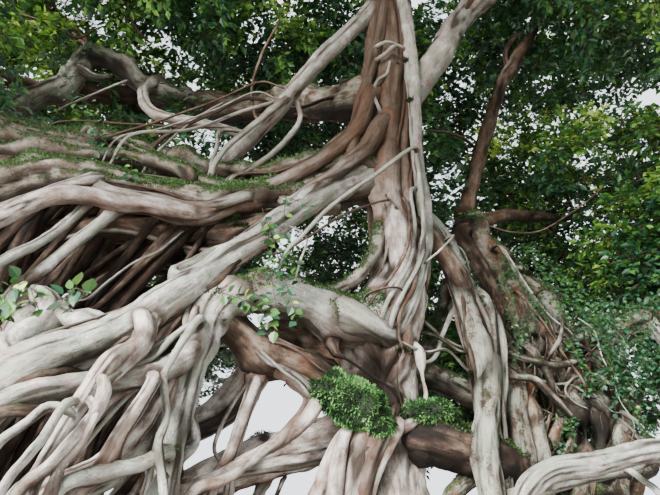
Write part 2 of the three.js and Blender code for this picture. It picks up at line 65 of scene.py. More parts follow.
# Each limb: its bark, its way from where it springs to its tip or foot, the radii spread evenly along it,
# True where it stands on the ground, and how flat it is
limbRows = {
    "second_trunk": ("mossy", [(1.27, 1.33, 5.56), (1.67, 1.2, 4.58), (1.86, 1.1, 3.73), (1.8, 1, 2.7),
        (1.73, 0.85, 1.5), (1.75, 0.8, -0.3)], [0.17, 0.24, 0.26, 0.27, 0.29, 0.33], True),
    "right_pillar": ("pale", [(0.15, 0, 5.05), (0.56, 0.12, 4.74), (0.81, 0.17, 4.08), (0.94, 0.1, 3.25),
        (0.93, 0.03, 2.3), (0.88, 0, -0.3)], [0.11, 0.125, 0.145, 0.155, 0.15, 0.15], True),
    "heel_arm": ("smooth", [(-0.06, -0.06, 3.6), (-0.59, -0.3, 3.36), (-1.07, -0.5, 3.54),
        (-1.66, -0.8, 3.55)], [0.26, 0.235, 0.195, 0.18]),
    "curved_prop_root": ("pale", [(-1.56, -0.74, 3.59), (-1.92, -1, 3.25), (-1.93, -1.15, 2.84),
        (-2.05, -1.3, 2.2), (-2.06, -1.4, 1.5), (-2, -1.45, -0.3)], [0.17, 0.165, 0.155, 0.135, 0.14, 0.15],
        True),
    "shelf_root_top": ("mossy", [(-0.04, 0.04, 5.85), (-1.15, 0.25, 5.6), (-2.48, 0.2, 5.53),
        (-3.81, 0, 5.85), (-5.2, -0.3, 6.12), (-6.35, -2.1, 6.6)], [0.215, 0.175, 0.15, 0.145, 0.15, 0.095]),
    "shelf_root_middle": ("mossy", [(-0.06, 0, 5.5), (-1, -0.12, 5.15), (-1.97, -0.2, 4.99),
        (-2.9, -0.4, 5.02), (-3.85, -0.62, 5.06), (-4.7, -0.8, 4.7)], [0.25, 0.205, 0.15, 0.15, 0.2, 0.23]),
    "left_pillar": ("pale", [(-4.56, -0.78, 4.78), (-5.1, -0.9, 4.05), (-5.5, -0.95, 2.6), (-5.6, -1, -0.3)],
        [0.19, 0.21, 0.19, 0.2], True),
    "shelf_root_lip": ("smooth", [(-0.62, -0.06, 4.96), (-1.59, -0.22, 5.02), (-2.27, -0.42, 4.65),
        (-3, -0.72, 4.61), (-3.62, -1.05, 4.5), (-4.25, -1.5, 3.7), (-4.9, -2.1, 2), (-5.15, -2.3, -0.3)],
        [0.15, 0.13, 0.13, 0.11, 0.1, 0.095, 0.1, 0.11], True),
    "shelf_root_under": ("brown", [(-1.23, -0.07, 5.06), (-1.52, 0.03, 4.79), (-1.9, 0.06, 4.61),
        (-2.35, 0.04, 4.58), (-3.37, 0, 4.7), (-4.3, -0.1, 4.56), (-5.18, -0.7, 4)],
        [0.11, 0.15, 0.185, 0.19, 0.185, 0.17, 0.14]),
    "straight_root_left": ("pale", [(-3.08, -0.66, 4.64), (-3.52, -0.9, 3.9), (-3.8, -1.25, 3.15),
        (-4.12, -1.48, 1.6), (-4.2, -1.5, -0.3)], [0.066, 0.058, 0.054, 0.056, 0.064], True),
    "straight_root_far": ("pale", [(-3.33, -0.59, 4.9), (-3.62, -1.08, 3.99), (-3.85, -1.47, 3.45),
        (-4.43, -1.8, 1.8), (-4.68, -1.9, -0.3)], [0.058, 0.05, 0.054, 0.058, 0.064], True),
    "diagonal_root": ("pale", [(-0.04, -0.04, 5.56), (-0.75, -0.38, 5), (-1.69, -0.82, 3.98),
        (-2.37, -1.3, 3.15), (-3.19, -1.9, 2.37), (-3.95, -2.45, 1.2), (-4.25, -2.65, -0.3)],
        [0.165, 0.145, 0.13, 0.14, 0.2, 0.23, 0.24], True),
    "cross_root": ("pale", [(-1.9, -1.12, 2.9), (-2.14, -1.5, 2.56), (-2.49, -1.8, 2.4), (-2.98, -2.2, 2.18),
        (-3.42, -2.6, 1.2), (-3.56, -2.7, -0.3)], [0.088, 0.092, 0.1, 0.084, 0.08, 0.09], True),
    "fan_root_one": ("smooth", [(-2.35, -1.33, 3.16), (-2.31, -1.56, 2.79), (-2.4, -1.98, 2.5),
        (-2.55, -2.25, 1.86), (-2.64, -2.56, 0.9), (-2.68, -2.65, -0.3)],
        [0.084, 0.074, 0.068, 0.054, 0.05, 0.06], True),
    "fan_root_two": ("smooth", [(-2.09, -1.42, 2.6), (-2.23, -1.52, 2.18), (-2.38, -1.69, 1.88),
        (-2.78, -2.08, 1.56), (-3.08, -2.35, 0.8), (-3.16, -2.4, -0.3)],
        [0.076, 0.086, 0.076, 0.066, 0.062, 0.072], True),
    "fan_root_three": ("pale", [(-2.02, -1.29, 2.2), (-2.36, -1.48, 1.84), (-2.64, -1.78, 1.56),
        (-2.88, -1.98, 0.8), (-2.93, -2, -0.3)], [0.07, 0.09, 0.084, 0.074, 0.084], True),
    "under_heel_limb": ("brown", [(-1.86, -0.9, 3.29), (-1.44, -0.56, 3.01), (-0.95, -0.42, 2.83),
        (-0.52, -0.32, 2.69), (-0.15, -0.06, 2.64)], [0.15, 0.182, 0.176, 0.174, 0.18]),
    "fork_root_left": ("smooth", [(-1.44, -0.52, 2.96), (-1.49, -0.56, 2.62), (-1.56, -0.61, 2.33),
        (-1.63, -0.67, 1.9), (-1.67, -0.75, -0.3)], [0.12, 0.072, 0.048, 0.044, 0.062], True),
    "fork_root_right": ("smooth", [(-1.4, -0.52, 2.9), (-1.12, -0.54, 2.73), (-0.89, -0.56, 2.53),
        (-1.06, -0.64, 2.24), (-1.54, -0.9, 1.9), (-2.02, -1.33, 1.6)],
        [0.092, 0.062, 0.08, 0.068, 0.062, 0.058]),
    "slab_root": ("smooth", [(-0.15, 0.06, 2.33), (-0.75, -0.04, 2.21), (-1.33, -0.3, 2), (-1.93, -0.56, 1.8),
        (-2.5, -0.84, 1.48), (-3, -1.04, 0.7), (-3.12, -1.08, -0.3)],
        [0.225, 0.228, 0.214, 0.16, 0.13, 0.12, 0.14], True, 0.6),
    "pale_slab_root": ("smooth", [(-1.42, -0.49, 2.96), (-1.79, -0.33, 2.48), (-2.21, -0.42, 2.17),
        (-2.64, -0.54, 1.7), (-2.98, -0.56, 0.9), (-3.06, -0.56, -0.3)],
        [0.15, 0.172, 0.14, 0.104, 0.1, 0.115], True, 0.6),
    "pillar_root_left": ("smooth", [(-0.35, -0.25, 2.46), (-0.7, -0.52, 1.97), (-0.9, -0.62, 1.5),
        (-1.12, -0.74, 0.6), (-1.15, -0.76, -0.3)], [0.104, 0.112, 0.108, 0.104, 0.12], True),
    "pillar_root_right": ("smooth", [(-0.15, -0.26, 2.5), (-0.43, -0.56, 2.02), (-0.6, -0.66, 1.5),
        (-0.76, -0.8, 0.6), (-0.8, -0.82, -0.3)], [0.118, 0.124, 0.124, 0.118, 0.13], True),
    "low_cross_limb": ("mossy", [(-0.12, -0.18, 2.35), (0.3, -0.24, 2.21), (0.64, -0.12, 2.11),
        (0.92, 0.02, 2.04)], [0.17, 0.195, 0.19, 0.15]),
    "second_strand": ("pale", [(1.76, 1.08, 4.62), (2.08, 0.88, 3.98), (2.2, 0.76, 3.2), (2.15, 0.66, 2.4),
        (2.17, 0.56, -0.3)], [0.13, 0.148, 0.152, 0.15, 0.165], True),
    "low_right_bough": ("brown", [(1.85, 1.08, 3.5), (2.7, 1.15, 3.56), (3.7, 1.6, 3.95), (4.7, 2.1, 4.45)],
        [0.17, 0.15, 0.125, 0.09]),
    "far_pillar": ("brown", [(2.76, 1.14, 3.56), (2.76, 1, 3), (2.66, 0.86, 2.3), (2.56, 0.8, 1.4),
        (2.54, 0.8, -0.3)], [0.1, 0.13, 0.15, 0.14, 0.155], True),
    "ground_root": ("pale", [(3.9, 1.68, 4.05), (3.56, 0.5, 2.95), (2.9, -0.38, 2.18), (1.68, -0.7, 1.94),
        (1.05, -0.82, 1.78), (0.7, -0.96, 1.2), (0.62, -1, -0.3)],
        [0.09, 0.105, 0.112, 0.1, 0.09, 0.084, 0.096], True),
    "clinging_root": ("pale", [(0.25, -0.09, 9.05), (0.345, -0.27, 8.3), (0.37, -0.3, 6.63),
        (0.35, -0.3, 5.5), (0.37, -0.27, 4.39), (0.15, -0.33, 3.64), (-0.06, -0.33, 3.2)],
        [0.09, 0.1, 0.094, 0.078, 0.084, 0.088, 0.08]),
    "descending_bough": ("pale", [(0.09, 0.02, 8.8), (-0.11, -0.11, 8.4), (-1.16, -0.21, 6.83),
        (-1.87, -0.08, 5.92), (-2.38, 0.13, 5.56)], [0.12, 0.112, 0.11, 0.105, 0.095]),
    "right_bough": ("smooth", [(0.12, 0, 6.4), (0.69, 0.02, 7.31), (1.68, 0.3, 9.06), (3.1, 0.2, 9.95),
        (4.8, -0.3, 9.75)], [0.175, 0.185, 0.19, 0.15, 0.095]),
    "slender_bough": ("brown", [(1.27, 1.4, 5.5), (1.75, 1.64, 6.9), (2.41, 1.9, 8.6), (3.5, 2.25, 10.7)],
        [0.13, 0.122, 0.112, 0.08]),
    "back_left_bough": ("brown", [(0.06, 0.06, 6.95), (-0.5, 0.65, 7.25), (-1.61, 1.4, 7.9), (-3.18, 2, 8.48),
        (-4.4, 2.22, 8.76), (-5.9, 2.6, 9.65)], [0.29, 0.285, 0.265, 0.25, 0.22, 0.12]),
    "far_left_bough": ("brown", [(-4.35, 2.22, 8.76), (-5.45, 1.7, 8.35), (-6.5, 0.7, 7.95)],
        [0.18, 0.165, 0.1]),
    "crown_left_bough": ("brown", [(0.11, 0.06, 9.25), (-0.9, 0.15, 10.3), (-2.1, 0.2, 11)],
        [0.18, 0.135, 0.085]),
    "crown_back_bough": ("brown", [(0.11, 0.06, 8.9), (-0.05, 1.3, 9.8), (-0.25, 2.7, 10.6)],
        [0.18, 0.135, 0.085]),
    "crown_front_bough": ("brown", [(0.11, 0.05, 9.3), (0.15, -0.95, 10.25), (0.18, -2, 10.75)],
        [0.17, 0.13, 0.08]),
    "front_left_bough": ("brown", [(0.11, 0.03, 9), (-0.9, -1.2, 9.65), (-2.1, -3.2, 9.6),
        (-2.85, -4.7, 9.3)], [0.18, 0.16, 0.13, 0.085]),
    "front_right_bough": ("brown", [(0.11, 0.03, 8.85), (1.1, -1.05, 9.5), (2.3, -2.9, 9.45),
        (3.05, -4.3, 9.1)], [0.18, 0.16, 0.13, 0.085]),
    "right_back_bough": ("brown", [(1.29, 1.38, 5.42), (2.3, 2.4, 6.2), (3.7, 3.7, 6.9)],
        [0.125, 0.115, 0.085]),
    "back_bough": ("brown", [(0.08, 0.04, 6), (0.2, 1.9, 6.5), (0.4, 4, 6.9), (0.52, 5.3, 7.05)],
        [0.19, 0.165, 0.125, 0.085]),
    "left_back_bough": ("brown", [(0.06, 0.04, 6.25), (-1, 1.5, 6.6), (-2.5, 3.3, 6.8), (-3.4, 4.5, 6.9)],
        [0.185, 0.16, 0.125, 0.085]),
    "low_back_bough": ("brown", [(1.8, 1.05, 3), (2.05, 2.1, 3.7), (2.55, 3.6, 4.2)], [0.16, 0.13, 0.085]),
}
limbs = {name: dict(zip(("bark", "way", "radii", "foot", "flat"), row)) for name, row in limbRows.items()}

# The limb whose tip carries each mass of leaves, the mass's middle and its reach, how full it is as a share
# of the finer sprays tried, and how much lighter or deeper than others its leaves are painted, as painted
# sunlight and shade
massRows = {
    "foliage_crown_top": ("trunk", (0.2, 0.7, 12.65), (3.3, 3, 1.85), 0.75, 0),
    "foliage_crown_left": ("crown_left_bough", (-3.9, 0.5, 11.2), (3.1, 3.1, 2.4), 1.7, 0.2),
    "foliage_crown_back": ("crown_back_bough", (-0.5, 4.6, 10.5), (3.9, 3.2, 2.7), 1.6, -0.02),
    "foliage_crown_right": ("slender_bough", (4.4, 2.7, 11.6), (3.1, 3.1, 2.6), 1.3, 0.14),
    "foliage_crown_front": ("crown_front_bough", (0.2, -3.6, 11.4), (3.2, 2.9, 1.9), 0.7, 0),
    "foliage_right": ("right_bough", (6.7, -1.2, 9.2), (3, 3.2, 2.3), 0.6, 0.1),
    "foliage_right_back": ("right_back_bough", (5.3, 5.3, 7.8), (3.8, 3.3, 3), 1.6, 0.14),
    "foliage_back": ("back_bough", (0.45, 7.25, 7), (3.4, 2.7, 3.4), 1.5, -0.06),
    "foliage_left_back": ("left_back_bough", (-4.5, 6, 6.9), (3.6, 3.2, 3.4), 1.0, 0),
    "foliage_upper_left": ("back_left_bough", (-6.7, 3.4, 9.5), (3.2, 3, 2.5), 1.5, 0.24),
    "foliage_left": ("far_left_bough", (-7.8, -0.2, 7.7), (2.7, 2.9, 2.4), 0.6, 0.12),
    "foliage_left_front": ("shelf_root_top", (-7, -4, 7.3), (2.7, 2.8, 2.4), 0.7, 0),
    "foliage_front_left": ("front_left_bough", (-3.5, -6.2, 9.1), (3.1, 2.8, 2.1), 0.7, 0),
    "foliage_front_right": ("front_right_bough", (3.9, -5.7, 8.9), (3.2, 3, 2.1), 0.7, 0),
    "foliage_low_back": ("low_back_bough", (2.9, 5.2, 3.9), (3.2, 2.5, 1.9), 1.9, -0.12),
    "foliage_low_right": ("low_right_bough", (6.1, 2.6, 5), (2.8, 2.7, 2.1), 1.9, -0.04),
}
masses = {name: dict(zip(("on", "middle", "reach", "full", "freshAndLit"), row)) for name, row in massRows.items()}


# Colours

# An sRGB hex value as linear red, green, blue, alpha
def linearOf(hexColour):
    parts = [int(hexColour[i:i + 2], 16) / 255 for i in (1, 3, 5)]
    return [p / 12.92 if p <= 0.04045 else ((p + 0.055) / 1.055) ** 2.4 for p in parts] + [1.0]


# Adds a shader node, sets its properties and sockets, and links its inputs. A hex value is a colour, and
# stops are the places and colours of a ramp.
def addNode(tree, kind, settings=None, links=None):
    node = tree.nodes.new(kind)
    settings = dict(settings or {})
    stops = settings.pop("stops", [])
    for place, value in stops[2:]:
        node.color_ramp.elements.new(place)
    for number, (place, value) in enumerate(stops):
        stop = node.color_ramp.elements[number]
        stop.position = place
        stop.color = linearOf(value) if isinstance(value, str) else [value] * 3 + [1]
    for key, value in settings.items():
        if isinstance(key, str) and hasattr(node, key):
            setattr(node, key, value)
        else:
            node.inputs[key].default_value = linearOf(value) if str(value).startswith("#") else value
    for key, value in (links or {}).items():
        if isinstance(value, str):
            node.inputs[key].default_value = linearOf(value)
        else:
            tree.links.new(value, node.inputs[key])
    return node


# A node's output times a factor plus a number or another node's output
def multiplyAdd(tree, value, factor, added):
    settings, links = {"operation": "MULTIPLY_ADD", 1: factor}, {0: value}
    (settings if isinstance(added, float) else links)[2] = added
    return addNode(tree, "ShaderNodeMath", settings, links).outputs[0]


# A ramp from a value to the colours at its stops
def ramp(tree, value, stops):
    return addNode(tree, "ShaderNodeValToRGB", {"stops": stops}, {0: value}).outputs[0]


# Fig bark, grown, never cut: thin smooth skin over fibres. To the eye a matte pinkish grey, with soft brown
# patches and pale crusts of lichen, and green with moss on top. Painted shade darkens it to a rust brown
# underneath, near other wood and in creases, and to brown high in the crown. The shares say how dark the
# fibres are, and how strong the painted shade is near other wood, underneath and high in the crown.
barkLooks = ("base", "light", "dark", "warm", "lichen", "shade", "crease",
    "warmShare", "lichenFrom", "mossFrom", "fibre", "near", "under", "high")
barkFinish = {
    "smooth": ("#a79d98", "#e2dcd9", "#6a5b52", "#ac8872", "#b3b8ab", "#4a3022", "#1c130c",
        0.5, 0.6, 0.86, 0.46, 0.8, 0.72, 0.95),
    "pale": ("#aaa2a3", "#e9e6e9", "#6a605d", "#bd9888", "#99a496", "#47362a", "#261d16",
        0.5, 0.47, 0.82, 0.38, 0.75, 0.66, 0.46),
    "brown": ("#67564a", "#9b8c80", "#3c2e25", "#7d543c", "#8b9085", "#26180f", "#120b07",
        0.6, 0.66, 0.74, 0.6, 0.8, 0.9, 0.6),
    "mossy": ("#786e64", "#bcb4ab", "#42382f", "#856852", "#929c8f", "#2c2017", "#15140b",
        0.4, 0.53, 0.5, 0.5, 0.8, 0.9, 0.5),
    "rough": ("#6b6259", "#bdb8b1", "#38302a", "#876b57", "#98a295", "#241912", "#100b07",
        0.4, 0.48, 0.7, 0.55, 0.8, 0.9, 0.2),
    # Dark bark round the second trunk: partly its own colour, partly painted shade of the deep shadow there
    "gnarled": ("#554a3f", "#a5a096", "#1f1a15", "#7f5236", "#8a9487", "#19120d", "#0a0705",
        0.6, 0.56, 0.64, 0.6, 0.9, 0.95, 0.5),
    # Near black bark for roots in the hollows and recesses: partly the colour of wet bark, partly painted
    # shade
    "damp": ("#3b2d25", "#766559", "#1d1510", "#4f3424", "#55564c", "#130c08", "#080503",
        0.6, 0.68, 0.88, 0.6, 0.85, 0.9, 0.5),
}
barkSlots = {"damp": "brown_bark", "rough": "mossy_bark", "gnarled": "mossy_bark"}
# The bark's patterns: the real size of a patch in millimetres, how many finer layers it has and how rough
# they are, and how much longer it is along the limb. Fibres and grain are drawn coarser than life to show.
barkPatterns = {
    "mottle": {"size": 120, "detail": 8, "rough": 0.6, "long": 2.0},
    "warm": {"size": 380, "detail": 5, "rough": 0.6, "long": 1.5},
    "crust": {"size": 170, "detail": 7, "rough": 0.68, "long": 1.0},
    "grain": {"size": 20, "detail": 6, "rough": 0.66, "long": 1.0},
    "fibre": {"size": 32, "detail": 5, "rough": 0.6, "long": 9.0},
    "fleck": {"size": 34, "detail": 3, "rough": 0.5, "long": 0.8},
    "crack": {"size": 75, "detail": 4, "rough": 0.55, "long": 4.0},
    "moss": {"size": 260, "detail": 9, "rough": 0.74, "long": 1.0},
}
barkMottle = {"dark": 0.34, "base": 0.48, "light": 0.64}  # where the mottle has each colour
barkMoss = [(0.36, "#0f180b"), (0.52, "#2c3e1f"), (0.7, "#5a7038")]
# Painted shade of the crown: between these heights the bark is painted over more and more with a dark brown
highBark = {"colour": "#3b2b1c", "from": 4.0, "to": 5.6}  # up in the crown's shade it is browner
barkSurface = {"roughness": 0.78, "specular": 0.3, "bump": 0.7, "bumpDepth": 0.03, "grainShare": 0.35,
    "mossFacing": 0.26}


# Fig bark: mottled base, warm patches, lichen, flecks, dark fibres, painted shade in creases, near other
# wood, underneath and high in the crown, and moss on top. Patterns follow the limb by the attribute
# limbPlace; moss and height read the object's place.
def makeBark(kind, finish):
    material = bpy.data.materials.new("figBark_" + kind)
    material.use_nodes = True
    tree = material.node_tree
    shader = tree.nodes["Principled BSDF"]
    place = addNode(tree, "ShaderNodeTexCoord").outputs["Object"]
    limbPlace = addNode(tree, "ShaderNodeAttribute", {"attribute_name": "limbPlace"}).outputs["Vector"]
    crease = addNode(tree, "ShaderNodeAttribute", {"attribute_name": "crease"}).outputs["Fac"]
    near = addNode(tree, "ShaderNodeAttribute", {"attribute_name": "near"}).outputs["Fac"]
    normal = addNode(tree, "ShaderNodeNewGeometry").outputs["Normal"]
    facing = addNode(tree, "ShaderNodeSeparateXYZ", None, {0: normal}).outputs[2]
    high = addNode(tree, "ShaderNodeSeparateXYZ", None, {0: place}).outputs[2]
    patterns = {}
    for name, pattern in barkPatterns.items():
        scale = 1000 / pattern["size"]
        moved = addNode(tree, "ShaderNodeMapping", {"Scale": (scale, scale, scale / pattern["long"])},
            {"Vector": place if name in ("crust", "moss") else limbPlace})
        patterns[name] = addNode(tree, "ShaderNodeTexNoise",
            {"Scale": 1.0, "Detail": pattern["detail"], "Roughness": pattern["rough"]},
            {"Vector": moved.outputs[0]}).outputs[0]
    crust = multiplyAdd(tree, patterns["grain"], barkSurface["grainShare"], patterns["crust"])
    # how far the bark faces down, for the painted shade underneath
    under = multiplyAdd(tree, facing, -0.5, 0.5)
    mossPlace = multiplyAdd(tree, facing, barkSurface["mossFacing"], patterns["moss"])
    inCrown = addNode(tree, "ShaderNodeMapRange", {"From Min": highBark["from"], "From Max": highBark["to"],
        "To Max": finish["high"]}, {"Value": high}).outputs[0]
    mossFrom, lichenFrom = finish["mossFrom"], finish["lichenFrom"]
    colour = ramp(tree, patterns["mottle"], [(at, finish[tint]) for tint, at in barkMottle.items()])
    mossColour = ramp(tree, patterns["grain"], barkMoss)
    # each layer: what it follows, where it begins and is full, how much it covers at the end, and its colour
    layers = [
        (patterns["warm"], [(0.5, 0), (0.66, finish["warmShare"])], finish["warm"]),
        (crust, [(lichenFrom + 0.14, 0), (lichenFrom + 0.2, 0.7)], finish["lichen"]),
        # painted shade of the crown, stronger higher up
        (inCrown, [(0, 0), (1, 1)], highBark["colour"]),
        (patterns["fleck"], [(0.26, 0.8), (0.33, 0)], finish["dark"]),
        (patterns["fibre"], [(0.34, finish["fibre"]), (0.47, 0)], finish["dark"]),
        (patterns["crack"], [(0.485, 0), (0.5, 0.55), (0.515, 0)], finish["crease"]),
        # painted shade: darker near other wood and underneath, darkest in creases and hollows
        (near, [(0.1, 0), (0.8, finish["near"])], finish["shade"]),
        (under, [(0.62, 0), (0.93, finish["under"])], finish["shade"]),
        (crease, [(0.1, 0), (0.75, 0.92)], finish["crease"]),
        (mossPlace, [(mossFrom, 0), (mossFrom + 0.09, 0.95)], mossColour)]
    for follows, stops, tint in layers:
        cover = ramp(tree, follows, stops)
        colour = addNode(tree, "ShaderNodeMix", {"data_type": "RGBA"},
            {0: cover, 6: colour, 7: tint}).outputs[2]
    tree.links.new(colour, shader.inputs["Base Color"])
    shader.inputs["Roughness"].default_value = barkSurface["roughness"]
    shader.inputs["Specular IOR Level"].default_value = barkSurface["specular"]
    height = patterns["mottle"]
    for follows, share in ((patterns["grain"], 0.4), (patterns["fibre"], 0.7), (cover, 0.6)):
        height = multiplyAdd(tree, follows, share, height)
    bump = addNode(tree, "ShaderNodeBump",
        {"Strength": barkSurface["bump"], "Distance": barkSurface["bumpDepth"]}, {"Height": height})
    tree.links.new(bump.outputs[0], shader.inputs["Normal"])
    return material


# A material of one colour
def makePlain(name, hexColour, roughness, specular=0.5):
    material = bpy.data.materials.new(name)
    material.use_nodes = True
    shader = material.node_tree.nodes["Principled BSDF"]
    shader.inputs["Base Color"].default_value = linearOf(hexColour)
    shader.inputs["Roughness"].default_value = roughness
    shader.inputs["Specular IOR Level"].default_value = specular
    return material


barks = {kind: makeBark(kind, dict(zip(barkLooks, row))) for kind, row in barkFinish.items()}
# Fig leaves, living: a waxy skin that shines a little. Plain colours, dealt out by spray, partly by chance
# and partly as painted light: high sprays lighter, up to a sunlit yellow green, and low ones deeper green in
# painted shade.
leafFinish = {"deep": "#1c3a1c", "blue": "#29523a", "middle": "#3b692e", "freshAndLit": "#6b9a3e",
    "sunlit": "#a5c356"}
leafMaterials = [makePlain("figLeaf_" + name, colour, 0.42) for name, colour in leafFinish.items()]
# Moss, living: fine soft shoots that hold no shine, from near black between them, which is painted shade, to
# a light green at the tips
mossFinish = {"deep": "#131f0d", "dark": "#1d3617", "olive": "#3a5224", "middle": "#3c6b38",
    "light": "#6b9b5a"}
mossMaterials = [makePlain("moss_" + name, colour, 0.75, 0.3) for name, colour in mossFinish.items()]
# Fig twigs, grown: dull dark brown bark
twigMaterial = makePlain("figTwig", "#43372c", 0.85, 0.3)
print("materials made")


# Shapes

# Puts whole arrays of points and faces into a mesh. faces is a list of arrays, one for each count of corners.
def meshPiece(name, points, faces, material, slotName, smooth=True):
    mesh = bpy.data.meshes.new(name)
    mesh.vertices.add(len(points))
    mesh.vertices.foreach_set("co", np.asarray(points, np.float32).ravel())
    corners = np.concatenate([f.ravel() for f in faces])
    counts = np.concatenate([np.full(len(f), f.shape[1]) for f in faces])
    mesh.loops.add(len(corners))
    mesh.loops.foreach_set("vertex_index", corners.astype(np.int32))
    mesh.polygons.add(len(counts))
    mesh.polygons.foreach_set("loop_start", np.concatenate([[0], np.cumsum(counts)[:-1]]).astype(np.int32))
    mesh.polygons.foreach_set("use_smooth", np.full(len(counts), smooth))
    mesh.update(calc_edges=True)
    piece = bpy.data.objects.new(name, mesh)
    bpy.context.scene.collection.objects.link(piece)
    for one in material if isinstance(material, list) else [material]:
        mesh.materials.append(one)
    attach(piece, "root")
    return piece


# Gives each face of a piece one of its materials
def dealColours(piece, tints):
    piece.data.polygons.foreach_set("material_index", tints.astype(np.int32))


# Joins parts, each with its points and faces: a part's faces move on past the points before it
def joined(parts):
    starts = np.cumsum([0] + [len(points) for points, faces in parts[:-1]])
    return (np.concatenate([points for points, faces in parts]),
        np.concatenate([faces + start for (points, faces), start in zip(parts, starts)]))


# A repeatable number from 0 to 1: the fraction of a large sine of the key and the count
def chance(key, count):
    value = np.sin(np.asarray(key) * 12.9898 + np.asarray(count) * 78.233) * 43758.5453
    return value - np.floor(value)


# Several such numbers for each count, from keys a step apart
def chances(key, count, many=3, step=1):
    return np.stack([chance(key + n * step, count) for n in range(many)], axis=-1)


# Value noise from -1 to 1: random numbers at whole places, blended smoothly between them
def latticeNoise(points, seed=0):
    whole = np.floor(points).astype(np.int64)
    part = points - whole
    part = part * part * (3 - 2 * part)
    total = 0
    for corner in range(8):
        step = np.array([corner & 1, corner >> 1 & 1, corner >> 2 & 1])
        at = whole + step
        mixed = at[..., 0] * 374761393 + at[..., 1] * 668265263 + at[..., 2] * 1274126177 + seed * 362437
        mixed = (mixed ^ (mixed >> 13)) * 1103515245 & 0x7FFFFFFF
        mixed = (mixed ^ (mixed >> 16)) & 0xFFFF
        weight = np.prod(np.where(step, part, 1 - part), axis=-1)
        total = total + weight * (mixed / 32767.5 - 1)
    return total


# Vectors scaled to length one
def unit(vectors):
    return vectors / np.maximum(np.linalg.norm(vectors, axis=-1, keepdims=True), 1e-12)


# Two unit vectors across a direction, the first as level as it can be
def acrossOf(direction):
    up = np.array([0.0, 1.0, 0.0]) if abs(direction[2]) > 0.999 else np.array([0.0, 0.0, 1.0])
    level = unit(np.cross(up, direction))
    return level, np.cross(direction, level)


# Vectors turned square to a direction
def squareTo(direction, vectors):
    return unit(vectors - np.sum(vectors * direction, axis=-1, keepdims=True) * direction)


# A vector square to an axis, turned about it by an angle
def turned(vector, axis, angle):
    return vector * math.cos(angle) + np.cross(axis, vector) * math.sin(angle)


# A centripetal Catmull-Rom curve through the way: a cubic between each two points whose slopes come from the
# neighbours, weighted by the square roots of the distances
def curvePoints(way, places):
    way = np.asarray(way, float)
    ends = np.vstack([2 * way[0] - way[1], way, 2 * way[-1] - way[-2]])
    spans = np.maximum(np.sum(np.diff(ends, axis=0) ** 2, axis=1) ** 0.25, 1e-4)
    at = np.clip(places, 0, 1) * (len(way) - 1)
    piece = np.minimum(at.astype(int), len(way) - 2)
    w = (at - piece)[:, None]
    p0, p1, p2, p3 = (ends[piece + i] for i in range(4))
    d0, d1, d2 = (spans[piece + i][:, None] for i in range(3))
    slope1 = ((p1 - p0) / d0 - (p2 - p0) / (d0 + d1) + (p2 - p1) / d1) * d1
    slope2 = ((p2 - p1) / d1 - (p3 - p1) / (d1 + d2) + (p3 - p2) / d2) * d1
    return p1 + slope1 * w + (3 * (p2 - p1) - 2 * slope1 - slope2) * w ** 2 + \
        (2 * (p1 - p2) + slope1 + slope2) * w ** 3


# The radius at places from 0 to 1, straight between the named ones
def radiusAt(radii, places):
    return np.interp(np.clip(places, 0, 1) * (len(radii) - 1), np.arange(len(radii)), radii)


# Places along a way that lie a set distance apart, down to the ground where it stands on it
def evenPlaces(way, spacing, toGround=False):
    fine = np.linspace(0, 1, 600)
    points = curvePoints(way, fine)
    if toGround:
        inside = points[:, 2] > 0
        last = np.nonzero(inside)[0][-1] if inside[0] else len(fine) - 1
        first = 0 if inside[0] else np.nonzero(inside)[0][0]
        fine, points = fine[first:last + 1], points[first:last + 1]
    length = np.concatenate([[0], np.cumsum(np.linalg.norm(np.diff(points, axis=0), axis=1))])
    count = max(int(length[-1] / spacing), 4)
    return np.interp(np.linspace(0, length[-1], count + 1), length, fine), length[-1]


# Directions along a line of points and two vectors across it that turn as little as they can
def framesAlong(points):
    along = unit(np.gradient(points, axis=0))
    level = np.empty_like(points)
    level[0] = acrossOf(along[0])[0]
    for i in range(1, len(points)):
        level[i] = squareTo(along[i], level[i - 1])
    return along, level, np.cross(along, level)


# Directions away from a line at each turn round it: the cosine along one vector across it and the sine along
# the other
def outwardAt(turn, level, over, flat=1):
    return np.cos(turn)[..., None] * level[:, None] * flat + np.sin(turn)[..., None] * over[:, None]


# Turns round a tube, one row for each ring
def turnsRound(rings, sides):
    return np.tile(2 * math.pi * np.arange(sides) / sides, (rings, 1))


# Quads between the rings and a fan of triangles over each end, whose middles follow the rings
def tubeFaces(rings, sides):
    i, j = np.meshgrid(np.arange(rings - 1), np.arange(sides), indexing="ij")
    a, b = i * sides + j, i * sides + (j + 1) % sides
    quads = np.stack([a, b, b + sides, a + sides], axis=-1).reshape(-1, 4)
    j = np.arange(sides)
    n = (j + 1) % sides
    firstMiddle, lastMiddle, last = rings * sides, rings * sides + 1, (rings - 1) * sides
    caps = np.concatenate([np.stack([np.full(sides, firstMiddle), n, j], axis=-1),
        np.stack([np.full(sides, lastMiddle), last + j, last + n], axis=-1)])
    return quads, caps


# A tube's points with the middles of its two ends after them
def withCaps(points):
    return np.concatenate([points.reshape(-1, 3), points[0].mean(0)[None], points[-1].mean(0)[None]])


